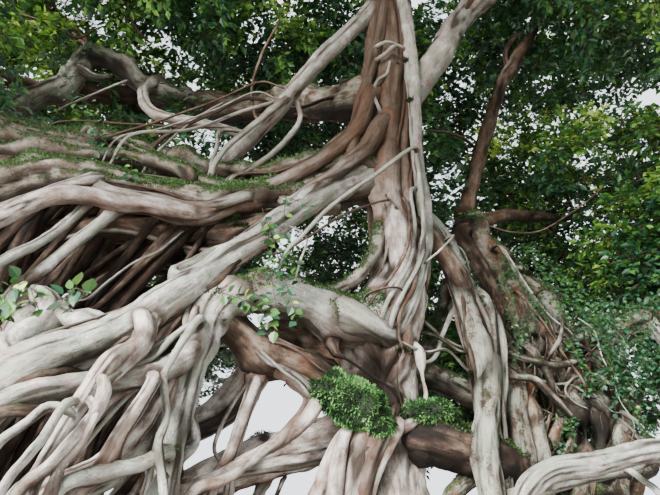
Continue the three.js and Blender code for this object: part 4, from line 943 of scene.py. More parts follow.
        (394, 338, -0.1)], 14, 13),
    "heel_web": ("mossy", [(380, 226, -0.15), (372, 256, -0.24), (352, 282, -0.3), (326, 292, -0.35),
        (298, 290, -0.4)], 6, 8),
    # Two dark roots laid across the recess under the heel, as painted shade of the recess
    "recess_root": ("damp", [(336, 350, -0.44), (354, 363, -0.46), (374, 378, -0.46), (396, 396, -0.4)], 10,
        9),
    "recess_root_low": ("damp", [(330, 362, -0.4), (350, 378, -0.42), (368, 392, -0.42), (388, 404, -0.4)], 9,
        8),
    "slender_top": ("brown", [(508, 78, 2.2), (519, 60, 2.25), (532, 34, 2.3), (546, 6, 2.35),
        (556, -16, 2.4)], 5, 3.5),
    "slender_fork": ("brown", [(509, 70, 2.2), (505, 52, 2.15), (514, 38, 2.1), (528, 26, 2.1)], 3, 2.2),
    "branch_d": ("brown", [(428, 130, 1), (452, 134, 1.3), (466, 140, 1.6), (477, 150, 1.9)], 1.3, 1.6),
    "branch_e": ("brown", [(484, 226, 1.2), (510, 232, 1.2), (536, 232, 1.25), (560, 220, 1.3),
        (586, 202, 1.4), (604, 186, 1.5)], 1.3, 0.6),
}


# Places that the photograph shows: the eye plus each pixel's ray times its reach to the depth. Gives the
# metres that a pixel spans there too.
def seenAt(pixels):
    pixels = np.asarray(pixels, float)
    tilt, focal = photograph["tilt"], photograph["focal"]
    across = (pixels[:, 0] - photograph["size"][0] / 2) / focal
    above = (photograph["size"][1] / 2 - pixels[:, 1]) / focal
    ray = np.stack([across, math.cos(tilt) - above * math.sin(tilt), math.sin(tilt) + above * math.cos(tilt)],
        axis=1)
    reach = (pixels[:, 2] - photograph["eye"][1]) / ray[:, 1]
    return np.array(photograph["eye"]) + ray * reach[:, None], reach / focal


# How a root that stands runs on: the least fall of its last stretch, how many times that stretch at most,
# how much it keeps of each direction, and how deep it ends
onDown = {"leastFall": 0.25, "most": 3, "share": 0.7, "keeps": (0.6, 0.3, 0), "ends": -0.2}
# How a root's end leads into a limb: how much one ahead is preferred, how far off it may be and how far in
leading = {"ahead": 0.5, "angle": 0.55, "nearest": 0.1, "furthest": 0.6, "into": 0.75}


# A followed root's way in metres. One that stands runs on along its last stretch down into the ground.
def tracedWay(seen, stands):
    way, span = seenAt(seen)
    if stands:
        step = way[-1] - way[-2]
        run = min(way[-1][2] / max(-step[2], onDown["leastFall"]), onDown["most"]) * onDown["share"]
        foot = way[-1] + step * run * np.array(onDown["keeps"])
        way = np.vstack([way, [foot[0], foot[1], onDown["ends"]]])
    return list(way), span


# Leads the ends of a way that don't stand on the ground into a limb that lies ahead of them
def ledInto(way):
    s = leading
    way = [np.array(p, float) for p in way]
    for end, before in ((0, 1), (-1, -2)):
        if way[end][2] < 0:
            continue
        ahead = unit(way[end] - way[before])
        toward = allWood - way[end]
        reach = np.linalg.norm(toward, axis=1)
        askew = np.maximum(s["angle"] - toward @ ahead / np.maximum(reach, 1e-6), 0)
        gaps = reach - allWoodRadii + s["ahead"] * askew
        nearest = int(gaps.argmin())
        if reach[nearest] > s["nearest"] and gaps[nearest] < s["furthest"] and toward[nearest] @ ahead > 0:
            way.insert(0 if end == 0 else len(way), allWood[nearest] * s["into"] + way[end] * (1 - s["into"]))
    return way


# The sides of a tube, each of a set width, from a least to a most
def sidesOf(radius, width, least, most):
    return int(np.clip(2 * math.pi * radius / width, least, most))


# Several repeatable numbers of one key
def draws(key, counts):
    return [float(chance(key, n)) for n in counts]


# A least value and a share of the span above it
def dealt(leastAndSpan, share):
    return leastAndSpan[0] + leastAndSpan[1] * share


# The trunk or the limb of that name
def limbOf(name):
    return trunk if name == "trunk" else limbs[name]


strands = {}
for name, (bark, seen, first, last, *stands) in tracedStrands.items():
    way, span = tracedWay(seen, stands)
    strands[name] = (bark, ledInto(way), [first * span[0], last * span[-1]])

# Thin roots that run over the limbs: how many on each, where they start and how far they run as shares of it,
# how far they drift round it in radians, how they sway, and how thick they are
runningRule = {"trunk": 16, "second_trunk": 14, "shelf_root_middle": 6, "shelf_root_top": 7,
    "shelf_root_under": 4, "diagonal_root": 4, "right_pillar": 6, "heel_arm": 2, "back_left_bough": 5,
    "under_heel_limb": 2, "slab_root": 3, "second_strand": 4, "curved_prop_root": 3, "right_bough": 3,
    "low_right_bough": 3, "far_pillar": 3}
running = {"start": (0.1, 0.4), "run": (0.3, 0.35), "furthest": 0.97, "drift": 2.4, "sway": 0.3,
    "swayOver": 9, "size": (0.012, 0.03), "trunkStart": (0.42, 0.15), "trunkEnd": (0.72, 0.25),
    "trunkSize": 1.6, "sunk": 0.7, "raised": 0.2}


# A way that keeps to a limb's surface, drifting round it between two shares of its length
def runningStrand(name, start, end, angle, drift, radius):
    limb = limbOf(name)
    places = np.linspace(start, end, max(int(abs(end - start) * len(limb["way"]) * 3), 5))
    middles = curvePoints(limb["way"], places)
    along, level, over = framesAlong(middles)
    sway = running["sway"] * np.sin(np.linspace(0, running["swayOver"], len(places)) + angle * 5)
    turn = angle + drift * np.linspace(0, 1, len(places)) + sway
    outward = np.cos(turn)[:, None] * level + np.sin(turn)[:, None] * over
    away = radiusAt(limb["radii"], places)[:, None] + radius * running["raised"]
    way = middles + outward * away
    for tip in (0, -1):
        way[tip] = middles[tip] + outward[tip] * away[tip] * running["sunk"]
    return list(way)


for number, (name, count) in enumerate(runningRule.items()):
    for k in range(count):
        key = number * 17 + k
        dice = draws(key, range(6))
        start = dealt(running["start"], dice[1])
        end = min(start + running["run"][0] + running["run"][1] * dice[2], running["furthest"])
        size = dealt(running["size"], dice[3] ** 1.5)
        if name == "trunk":
            start, end = dealt(running["trunkStart"], dice[1]), dealt(running["trunkEnd"], dice[2])
            size = size * running["trunkSize"]
        way = runningStrand(name, start, end, 2 * math.pi * dice[4], running["drift"] * (dice[5] - 0.5), size)
        kinds = ("gnarled", "rough", "brown") if name.startswith("second") else ("pale", "smooth", "brown")
        strands["running_%d" % key] = (kinds[key % 3], way, [size, size * 0.7])

# The lattice under the shelf: roots that lean down to the left, in front pale and behind brown and near
# black, darkened as painted shade of the hollow. Each springs from one of these stretches of a limb and runs
# to the left and aside by a share of its height there.
latticeRule = {
    "front": {"count": 34, "bark": ("pale", "smooth"), "run": (0.3, 0.42), "radius": (0.018, 0.034),
        "from": [("curved_prop_root", 0.15, 0.7), ("diagonal_root", 0.45, 0.85), ("cross_root", 0.1, 0.8),
            ("diagonal_root", 0.6, 0.9), ("slab_root", 0.2, 0.7)],
        "toward": (-0.2, -0.5)},
    "behind": {"count": 20, "bark": ("damp",), "run": (0.1, 0.4), "radius": (0.03, 0.03),
        "from": [("diagonal_root", 0.5, 0.95), ("curved_prop_root", 0.2, 0.8), ("diagonal_root", 0.55, 0.9)],
        "toward": (0.25, 0.7)},
    "back": {"count": 56, "bark": ("damp", "damp", "brown"), "run": (0.3, 0.6), "radius": (0.03, 0.075),
        "from": [("shelf_root_under", 0.25, 0.98), ("shelf_root_middle", 0.38, 0.95),
            ("shelf_root_top", 0.36, 0.8)],
        "toward": (-0.15, 0.55)},
}
latticeEdge = 2.2  # the feet keep this far inside the box at the left
for part, rule in latticeRule.items():
    for k in range(rule["count"]):
        dice = draws(k + len(part) * 3.7, range(11, 20))
        name, first, last = rule["from"][k % len(rule["from"])]
        start = curvePoints(limbOf(name)["way"], np.array([first + (last - first) * dice[0]]))[0]
        run = start[2] * dealt(rule["run"], dice[1])
        aside = start[2] * (rule["toward"][0] + (rule["toward"][1] - rule["toward"][0]) * dice[2]) * 0.5
        foot = np.array([max(start[0] - run, cadBox[0][0] + latticeEdge), start[1] + aside, -0.2])
        stray = np.array([0.3 * dice[3] - 0.25, 0.3 * dice[4] - 0.15, 0.5 * dice[5]])
        middle = start * 0.5 + foot * 0.5 + stray
        way = [start, start * 0.75 + middle * 0.25 + np.array([0, 0, 0.1]), middle,
            middle * 0.45 + foot * 0.55 + np.array([0.2 * dice[6] - 0.1, 0, 0]), foot]
        size = dealt(rule["radius"], dice[7] ** 1.5)
        bark = rule["bark"][k % len(rule["bark"])]
        strands["%s_lattice_%d" % (part, k)] = (bark, way, [size * 1.1, size * 0.9])
# Near black brown roots that roof the hollow under the shelf, one behind the other, their darkness painted
# shade of the hollow
roofRoots = {"count": 9, "first": 0.25, "apart": 0.11, "wave": 0.25, "height": 4.85, "radii": [0.11, 0.08]}
for k in range(roofRoots["count"]):
    dice = draws(k + 200, range(6))
    depth = roofRoots["first"] + roofRoots["apart"] * k
    way = [np.array([x, depth + wave * roofRoots["wave"], roofRoots["height"] + lift]) for x, wave, lift in (
        (-1.5, 0, 0.15), (-2, dice[0] - 0.5, 0.3 * dice[1] - 0.1),
        (-2.8, dice[2] - 0.5, 0.3 * dice[3] - 0.15), (-3.6, dice[4] - 0.5, 0.1),
        (-5, dice[5] - 0.5, -0.1 - 0.5 * dice[1]))]
    strands["roof_root_%d" % k] = ("damp", way, roofRoots["radii"])

# Thin roots tangled round the second trunk, as pixels and depth again, mostly in dark barks whose darkness is
# partly painted shade
tangle = {"count": 84, "from": (500, 318, 0.3), "over": (135, 125, 0.3), "step": (30, 26, 0.12),
    "radius": (0.7, 1.9), "barks": ("gnarled", "brown", "rough", "damp"), "leanShare": 1.2}
for k in range(tangle["count"]):
    dice = draws(k + 300, range(7))
    seen = [np.array(tangle["from"]) + np.array(tangle["over"]) * dice[:3]]
    lean = np.array([dice[3] - 0.5, dice[4] - 0.2, 0])
    for n in range(3):
        wave = np.array(draws(k + 320, range(3 * n, 3 * n + 3))) - 0.5
        seen.append(seen[-1] + np.array(tangle["step"]) * (wave + lean * tangle["leanShare"]))
    way, span = seenAt(seen)
    size = dealt(tangle["radius"], dice[6] ** 3) * span[0]
    strands["tangle_root_%d" % k] = (tangle["barks"][k % 4], list(way), [size, size * 0.7])

# How finely limbs are meshed: rings apart and the width of a side in metres, and how many sides
trunkMesh = {"rings": 0.03, "sides": 112}
limbMesh = {"rings": 0.034, "side": 0.028}
crownMesh = {"rings": 0.05, "side": 0.045}  # for the limbs that end in the leaves
limbSides = (16, 52)
# The same for thin roots. Those in the dark are coarser, and a piece is closed when it has so many points.
strandMesh = {"rings": (0.036, 0.1), "side": 0.03, "fewest": 6, "most": 18, "dampAndShadedRings": 1.3, "dampAndShadedMost": 12,
    "pointsEach": 85000, "notedFrom": 0.045}

for name, (bark, way, radii) in strands.items():
    if max(radii) > strandMesh["notedFrom"]:
        noteWood(name, way, radii)

carriers = {mass["on"] for mass in masses.values()}
piece = barkPiece("trunk_bark", [tubeSurface("trunk", trunk["way"], trunk["radii"], 1, trunkMesh["rings"],
    trunkMesh["sides"], True, 1, trunk, (False, False))], trunk["bark"])
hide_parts("trunk")
for number, (limbName, limb) in enumerate(limbs.items()):
    inCrown = limbName in carriers
    mesh = crownMesh if inCrown else limbMesh
    character = barkCharacter.get(limbName, {})
    onward = [character["beyond"]] if "beyond" in character else []
    surface = tubeSurface(limbName, limb["way"] + onward, limb["radii"], number + 2, mesh["rings"],
        sidesOf(max(limb["radii"]), mesh["side"], *limbSides), limb.get("foot", False),
        limb.get("flat", 1), None, (True, not inCrown))
    piece = barkPiece(limbName + "_bark", [surface], character.get("bark", limb["bark"]))
    keepMossGround(piece, limbName)
    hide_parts(limbName)
print("limbs made")

for bark in barks:
    surfaces, made, damp = [], 0, bark == "damp"
    for number, (name, (kind, way, radii)) in enumerate(strands.items()):
        if kind != bark:
            continue
        spacing = float(np.clip(max(radii) * (strandMesh["dampAndShadedRings"] if damp else 1), *strandMesh["rings"]))
        sides = sidesOf(max(radii), strandMesh["side"], strandMesh["fewest"],
            strandMesh["dampAndShadedMost" if damp else "most"])
        surfaces.append(tubeSurface(name, way, radii, number + 60, spacing, sides, way[-1][2] < 0))
        if sum(len(s["points"]) for s in surfaces) > strandMesh["pointsEach"]:
            barkPiece("strands_%s_%d" % (bark, made), surfaces, bark)
            surfaces, made = [], made + 1
    if surfaces:
        pieceName = "strands_%s_%d" % (bark, made)
        keepMossGround(barkPiece(pieceName, surfaces, bark), pieceName)
print("thin roots made")


# The CAD box's corners, drawn in by a margin
def boxWithin(margin):
    return np.array(cadBox[0]) + margin, np.array(cadBox[1]) - margin


# Plain tapering tubes along several ways, joined into one piece
def joinedTubes(name, ways, radii, sides, spacing):
    tubes = []
    for way, ends in zip(ways, radii):
        places, length = evenPlaces(way, spacing)
        middles = curvePoints(way, places)
        along, level, over = framesAlong(middles)
        radius = np.linspace(ends[0], ends[1], len(places))[:, None]
        points = middles[:, None] + outwardAt(turnsRound(len(places), sides), level, over) * radius[..., None]
        tubes.append({"points": np.clip(withCaps(points), *boxWithin(0.005)),
            "faces": tubeFaces(len(places), sides)})
    return meshPiece(name, *joinedSurfaces(tubes), twigMaterial, "brown_bark")


# Foliage: the solids' rule again, then finer twigs and leaves on every spray
crown = {"sprayLength": 1.7, "sprayWidth": 1.3, "spraySpacing": 0.85, "sprayThickness": 0.046,
    "shootCount": 4, "twigCount": 18, "twigTipLength": 0.78, "longestTwig": 2.3, "shortestTwig": 0.7,
    "shootReach": [0.6, 0.5, 0.4, 0.3, 0.2], "twigReach": [0.74, 0.66, 0.58, 0.5, 0.42], "shootSag": -0.15,
    "shootKnee": 0.6, "firstShoot": 0.5, "lastShoot": 0.95, "leanRange": 2.2, "shootTurn": 1.7,
    "twigTurn": 2.9, "shootRadius": 0.034, "twigRadius": 0.02, "tipRadius": 0.005, "stemTip": 0.042,
    "spaceMargin": 0.045, "stemBend": 0.35, "stemInto": 0.25, "twigWidth": (0.8, 0.3)}
# Sprays that only this model has, between the solids' own: how many are tried, how far apart they stay, their
# length, how much of it lies beyond and before the broadest place, and how far out they are tried
finerSprays = {"tries": 270, "spacing": 0.42, "length": 1.25, "width": 1.08, "longest": 2.1, "shortest": 0.25,
    "beyond": 0.45, "before": 0.55, "out": (0.25, 0.73), "outPower": 0.4, "clear": 0.1, "turn": 0.7,
    "radii": (0.011, 0.004)}
# Fine twigs: how many, from which share of the spray, how wide the spray is at its root and how it widens
# and narrows, how they turn, lean and differ in length, and how far beyond the mass's reach they may go
fineTwigs = {"perSpray": 20, "perFinerSpray": 13, "first": 0.12, "atRoot": 0.42, "rises": 0.58, "falls": 0.55,
    "turn": 1.5, "thickness": 0.8, "lean": (0.35, 0.5), "lastFrom": 0.97, "lastLean": 1.2,
    "long": (0.75, 0.4), "spread": 0.85, "margin": 0.1, "reach": 1.1, "radius": 0.009}
# Leaves: how many on a twig, from which share of it, their size and outline, and how they point. Their tone
# goes with the spray's height, as painted light that makes high sprays lighter and low ones deeper, and with
# chance, by spray and by leaf, and parts in five greens.
leafRule = {"count": 11, "first": 0.16, "length": 0.15, "long": (0.7, 0.5), "width": 0.58, "broadAt": 0.42,
    "lift": 0.35, "along": 0.55, "aside": 0.8, "random": 1.1, "down": 0.12, "facing": 1.5}
leafTone = {"middle": 0.42, "height": 0.28, "bySpray": 0.6, "byLeaf": 0.45, "parts": [0.22, 0.42, 0.68, 0.9]}
massMiddles = np.array([m["middle"] for m in masses.values()], float)
massReaches = np.array([m["reach"] for m in masses.values()], float)


# True where a point is within the mass's reach and nearer to it, by share, than to its neighbours
def inOwnSpace(number, points):
    shares = np.linalg.norm((points[:, None] - massMiddles) / massReaches, axis=2)
    own = shares[:, number]
    edge = 2 * crown["spaceMargin"] / massReaches[number].min()
    others = np.delete(shares, number, axis=1).min(1)
    return (own <= 1) & (others > own + edge)


# True where a point is further from every limb than its radius and the clearance
def clearOfWood(points, clearance):
    near = np.linalg.norm(allWood - points.mean(0), axis=1) < 3.5
    if not near.any():
        return np.full(len(points), True)
    gap = np.linalg.norm(points[:, None] - allWood[near], axis=2) - allWoodRadii[near]
    return gap.min(1) > clearance


# One of several directions spread evenly all round
def spiralAim(number, count, turnedBy):
    height = 1 - 2 * (number + 0.5) / count
    turn = number * goldenAngle + turnedBy
    level = math.sqrt(1 - height * height)
    return np.array([math.cos(turn) * level, math.sin(turn) * level, height])


# The sideways direction of a spray: level, then turned about its length by a random lean
def spraySide(along, key, count):
    lean = (float(chance(key, count)) - 0.5) * crown["leanRange"]
    return turned(acrossOf(along)[0], along, lean)


# The sprays of one mass: the shoots' and twigs' ways with the side and width of the spray on each, as the
# solids have them, and the stem's way
def growMass(number, mass):
    key = number + 1
    carrier = limbOf(mass["on"])
    ends = curvePoints(carrier["way"], np.array([0.9999, 1.0]))
    outward = np.array([0, 0, 1.0]) if mass["on"] == "trunk" else unit(ends[1] - ends[0])
    base, middle, reach = ends[1], np.array(mass["middle"]), np.array(mass["reach"])
    bend = base + outward * crown["stemBend"] * np.linalg.norm(middle - base)
    stemAt = lambda t: base * (1 - t) ** 2 + bend * 2 * t * (1 - t) + middle * t * t
    sprays, middles, shootPlaces = [], [], []

    def addTwig(points, count, width):
        start, broad, tip = points[-3:]
        side = spraySide(unit(tip - start), key, count)
        if any(np.linalg.norm(other - broad) < crown["spraySpacing"] for other in middles):
            return False
        tests = list(points[1:-2]) + [start + (broad - start) * s for s in (0.5, 0.75, 1)]
        for way in (-1, 1):
            corner = broad + side * way * width / 2
            tests += [corner, start + (corner - start) * 0.7, tip + (corner - tip) * 0.5]
        tests = np.array(tests + [tip, (tip + broad) / 2])
        if not (inOwnSpace(number, tests).all() and clearOfWood(tests, crown["sprayThickness"]).all()):
            return False
        middles.append(broad)
        sprays.append((points, side, width))
        return True

    def addShoot(i):
        start = stemAt(crown["firstShoot"]
            + (crown["lastShoot"] - crown["firstShoot"]) * i / (crown["shootCount"] - 1))
        aim = spiralAim(i, crown["shootCount"], key * crown["shootTurn"])
        for far in crown["shootReach"]:
            target = middle + aim * reach * far
            knee = start + (target - start) * crown["shootKnee"]
            knee = knee + np.array([0, 0, crown["shootSag"] * far * np.linalg.norm(target - start)])
            along = unit(target - knee)
            points = [start, knee, target, target + along * crown["sprayLength"] / 2,
                target + along * crown["sprayLength"]]
            if addTwig(points, i + 20, crown["sprayWidth"]):
                shootPlaces.extend(start + (knee - start) * s for s in (0.35, 0.7))
                shootPlaces.extend(knee + (target - knee) * s for s in (0, 0.4, 0.8))
                return

    def addNearTwig(i):
        aim = spiralAim(i, crown["twigCount"], key * crown["twigTurn"])
        for far in crown["twigReach"]:
            broad = middle + aim * reach * far
            place = min(shootPlaces, key=lambda p: np.linalg.norm(p - broad))
            if not crown["shortestTwig"] < np.linalg.norm(place - broad) < crown["longestTwig"]:
                continue
            tip = broad + unit(broad - place) * crown["twigTipLength"]
            width = crown["sprayWidth"] * dealt(crown["twigWidth"], float(chance(key, i + 300)))
            if addTwig([place, broad, tip], i + 200, width):
                return

    for i in range(crown["shootCount"]):
        addShoot(i)
    shootPlaces.extend(stemAt(share) for share in (0.6, 0.75, 0.9))
    for i in range(crown["twigCount"]):
        addNearTwig(i)
    addFinerSprays(number, sprays, middles, shootPlaces)
    stem = [base - outward * crown["stemInto"], base, bend * 0.5 + base * 0.25 + middle * 0.25, middle]
    return sprays, stem, carrier["radii"][-1]


# Small sprays in the gaps, on twigs from the nearest twig or shoot, by the same rule
def addFinerSprays(number, sprays, middles, shootPlaces):
    s = finerSprays
    middle, reach = massMiddles[number], massReaches[number]
    places = list(shootPlaces)
    for points, side, width in sprays:
        places.extend(points[-3] + (points[-2] - points[-3]) * share for share in (0.45, 0.8))
    full = list(masses.values())[number]["full"]
    tries, spacing = int(s["tries"] * full), s["spacing"] / math.sqrt(max(full, 1))
    aims = np.array([spiralAim(i, tries, number * s["turn"]) for i in range(tries)])
    far = dealt(s["out"], chance(number + 101, np.arange(tries)) ** s["outPower"])
    broads = middle + aims * reach * far[:, None]
    free = inOwnSpace(number, broads)
    for i in np.nonzero(free)[0]:
        broad = broads[i]
        if min(np.linalg.norm(np.array(middles) - broad, axis=1)) < spacing:
            continue
        gaps = np.linalg.norm(np.array(places) - broad, axis=1)
        nearest = int(gaps.argmin())
        if not s["shortest"] < gaps[nearest] < s["longest"]:
            continue
        place = places[nearest]
        along = unit(broad - place)
        tip = broad + along * s["length"] * s["beyond"]
        start = broad - along * min(s["length"] * s["before"], gaps[nearest])
        if not inOwnSpace(number, np.array([tip])).all():
            continue
        if not clearOfWood(np.array([broad, tip]), s["clear"]).all():
            continue
        middles.append(broad)
        places.extend([broad, broad * 0.5 + place * 0.5])
        sprays.append(([place, start, broad, tip], spraySide(along, number + 1, i + 400), s["width"]))


# Fine twigs round each spray's own twig: they leave it at golden angles and lean outwards, longest where the
# spray is widest, and are flattened across its thickness. One that leaves the space is left out.
def fineTwigsOf(number, sprays):
    s = fineTwigs
    starts, ends, owners = [], [], []
    for owner, (points, side, width) in enumerate(sprays):
        count = s["perFinerSpray" if width == finerSprays["width"] else "perSpray"]
        start, broad, tip = points[-3:]
        along = unit(tip - start)
        over = np.cross(along, side)
        share = np.linspace(s["first"], 1, count)
        length = np.linalg.norm(tip - start)
        broadShare = np.linalg.norm(broad - start) / length
        profile = np.where(share < broadShare, s["atRoot"] + s["rises"] * share / broadShare,
            1 - s["falls"] * (share - broadShare) / (1 - broadShare))
        dice = owner * 131 + np.arange(count)
        turn = goldenAngle * np.arange(count) + s["turn"] * chance(number + 1, dice)
        radial = np.cos(turn)[:, None] * side + np.sin(turn)[:, None] * over * s["thickness"]
        lean = dealt(s["lean"], chance(number + 31, dice)[:, None])
        lean = lean + np.where(share > s["lastFrom"], s["lastLean"], 0)[:, None]
        reach = width / 2 * profile * dealt(s["long"], chance(number + 61, dice))
        roots = start + (tip - start) * share[:, None]
        starts.append(roots)
        ends.append(roots + unit(radial * s["spread"] + along * lean) * reach[:, None])
        owners.append(np.full(count, owner))
    starts, ends, owners = np.concatenate(starts), np.concatenate(ends), np.concatenate(owners)
    low, high = boxWithin(s["margin"])
    inside = np.all((starts > low) & (ends > low) & (starts < high) & (ends < high), axis=1)
    shares = np.linalg.norm((ends[:, None] - massMiddles) / massReaches, axis=2)
    kept = inside & (shares[:, number] <= s["reach"]) & (shares.argmin(1) == number)
    return starts[kept], ends[kept], owners[kept]


# The corners of leaves folded along the midrib: the root, the two edges where the leaf is broadest, which lie
# aside and lifted, and the tip between them
def foldedCorners(roots, length, aside, lifted, broadAt):
    broad = roots + length * broadAt
    return np.stack([roots, broad + aside + lifted, roots + length, broad - aside + lifted], axis=-2)


# Two triangles for each of many folded leaves
def foldedFaces(count):
    base = np.arange(count)[:, None] * 4
    return np.concatenate([base + [0, 2, 1], base + [0, 3, 2]], axis=1).reshape(-1, 3)


# Leaves left and right along each fine twig: two triangles folded along the midrib, from a stalk point to a
# tip, facing up more than down
def leavesOn(number, starts, ends, owners):
    s, each = leafRule, leafRule["count"]
    share = np.linspace(s["first"], 1, each)
    index = np.arange(len(starts) * each).reshape(-1, each)
    along = unit(ends - starts)
    roots = starts[:, None] + (ends - starts)[:, None] * share[None, :, None]
    level = unit(np.cross(along, [0, 0, 1.0]) + 1e-6)
    sideWay = np.where(np.arange(each) % 2, 1.0, -1.0)[None, :, None]
    jitter = chances(number + 7, index) - 0.5
    direction = unit(along[:, None] * s["along"] + level[:, None] * sideWay * s["aside"]
        + jitter * s["random"] - np.array([0, 0, s["down"]]))
    up = unit(np.array([0, 0, 1.0]) + (chances(number + 17, index) - 0.5) * s["facing"])
    across = unit(np.cross(direction, up))
    normal = np.cross(across, direction)
    size = s["length"] * dealt(s["long"], chance(number + 41, index))[..., None]
    half = size * s["width"] / 2
    corners = foldedCorners(roots, direction * size, across * half, normal * half * s["lift"],
        s["broadAt"]).reshape(-1, 4, 3)
    low, high = boxWithin(0)
    inside = np.all((corners > low) & (corners < high), axis=(1, 2))
    corners = corners[inside]
    return corners.reshape(-1, 3), foldedFaces(len(corners)), np.repeat(np.repeat(owners, each)[inside], 2)


# How light each spray's green is painted, as painted light: lightest for the high ones and deepest for the
# low ones, moved by the mass and by chance
def leafTints(number, sprays):
    tips = np.array([points[-2] for points, side, width in sprays])
    height = (tips[:, 2] - massMiddles[number][2]) / massReaches[number][2]
    value = leafTone["middle"] + list(masses.values())[number]["freshAndLit"] + leafTone["height"] * height
    return value + leafTone["bySpray"] * (chance(number + 71, np.arange(len(sprays))) - 0.5)


# Three-sided sticks that taper to a point, closed at the thick end
def twigSticks(starts, ends, radius):
    along = unit(ends - starts)
    level = unit(np.cross(along, [0.02, 0.01, 1.0]))
    out = outwardAt(2 * math.pi * np.arange(3) / 3, level, np.cross(along, level))
    points = np.concatenate([starts[:, None] + out * radius, ends[:, None]], axis=1)
    base = np.arange(len(starts))[:, None] * 4
    faces = [[0, 1, 3], [1, 2, 3], [2, 0, 3], [0, 2, 1]]
    return points.reshape(-1, 3), np.concatenate([base + f for f in faces], axis=1).reshape(-1, 3)


sticks, stemWays, stemRadii, finerWays = [], [], [], []
for number, (massName, mass) in enumerate(masses.items()):
    sprays, stem, stemRadius = growMass(number, mass)
    starts, ends, owners = fineTwigsOf(number, sprays)
    points, faces, owners = leavesOn(number, starts, ends, owners)
    leaves = meshPiece(massName + "_leaves", points, [faces], leafMaterials, "leaves", False)
    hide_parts(massName)
    byLeaf = np.repeat(chance(number + 75, np.arange(len(owners) // 2)), 2) - 0.5
    value = leafTints(number, sprays)[owners] + leafTone["byLeaf"] * byLeaf
    dealColours(leaves, np.digitize(value, leafTone["parts"]))
    sticks.append(twigSticks(starts, ends, fineTwigs["radius"]))
    stemWays.append([tuple(p) for p in stem])
    stemRadii.append((stemRadius, crown["stemTip"]))
    for twigPoints, side, width in sprays:
        if width == finerSprays["width"]:
            finerWays.append([tuple(p) for p in twigPoints])
            continue
        stemWays.append([tuple(p) for p in twigPoints])
        stemRadii.append((crown["shootRadius" if len(twigPoints) > 3 else "twigRadius"], crown["tipRadius"]))
    print(massName, len(sprays), "sprays", len(starts), "twigs", len(faces) // 2, "leaves")
points, faces = joined(sticks)
meshPiece("fine_twigs", points, [faces], twigMaterial, "brown_bark", False)
joinedTubes("crown_twigs", stemWays, stemRadii, 5, 0.25)
joinedTubes("finer_twigs", finerWays, [finerSprays["radii"]] * len(finerWays), 3, 0.4)
print("foliage made")


# Moss cushions on the stem's heel: middle as pixels and depth, half sizes, tilt and the number of shoots
mossCushions = {
    "heel_moss": {"seen": (354, 404, -0.6), "size": (0.38, 0.17, 0.2), "tilt": -0.45, "shoots": 8000},
    "limb_moss": {"seen": (428, 412, -0.36), "size": (0.27, 0.12, 0.1), "tilt": 0.1, "shoots": 2600},
}
# A cushion's body: rings and sides, its broad and its small lumps (share of the size and how close), how far
# the shoots stray and sink, and how far they point down
cushionRule = {"rings": 40, "sides": 72, "broad": (0.34, 1.9), "small": (0.16, 5), "stray": 0.035,
    "sunk": 0.01, "down": 0.35, "clump": 0.07}
# Tufts of moss on the upper side of roots: place, spread and number of shoots
tufts = [
    ((92, 172, -0.45), 0.13, 260), ((240, 224, -0.2), 0.1, 260), ((232, 218, -0.2), 0.08, 160),
    ((30, 168, -0.5), 0.1, 120), ((150, 176, -0.4), 0.1, 120), ((268, 292, -0.6), 0.1, 160),
    ((300, 292, -0.5), 0.14, 300), ((322, 306, -0.4), 0.1, 200), ((210, 322, -1), 0.1, 200),
    ((222, 305, -0.95), 0.1, 160), ((402, 352, -0.3), 0.1, 160), ((440, 372, -0.1), 0.14, 240),
    ((505, 430, 0.4), 0.12, 200), ((545, 330, 0.6), 0.14, 260), ((562, 300, 0.7), 0.14, 240),
    ((525, 270, 0.8), 0.14, 240), ((500, 250, 0.9), 0.12, 200), ((590, 400, 0.6), 0.14, 220),
    ((402, 60, -0.4), 0.05, 60), ((408, 100, -0.4), 0.05, 60),
]
# The leaflets of each kind of moss. The mat covers ground that faces up, lies in a valley or crease, or is in
# a broad patch; from is the lowest ground that it grows on.
mossShoot = {"length": 0.042, "width": 0.018}
tuftShoot = {"length": 0.075, "width": 0.014}
matShoot = {"length": 0.03, "width": 0.019, "each": 3, "patch": 0.3, "finer": 3.1, "from": 0.1, "facing": 0.8,
    "patchShare": 0.5, "valley": 0.4, "needed": 1.08, "stray": 0.035, "sunk": 0.004}


# Small pointed leaflets of two triangles, one from each place along its direction
def shootsOn(places, directions, length, width, seed):
    index = np.arange(len(places))
    dice = chances(seed, index, 4)
    direction = unit(directions + (dice[:, :3] - 0.5) * 1.1)
    across = unit(np.cross(direction, [0.3, 0.2, 1.0]))
    normal = np.cross(across, direction)
    size = length * (0.6 + 0.7 * dice[:, 3])[:, None]
    corners = foldedCorners(places, direction * size, across * width / 2, normal * width * 0.2, 0.45)
    return corners.reshape(-1, 3), foldedFaces(len(places))


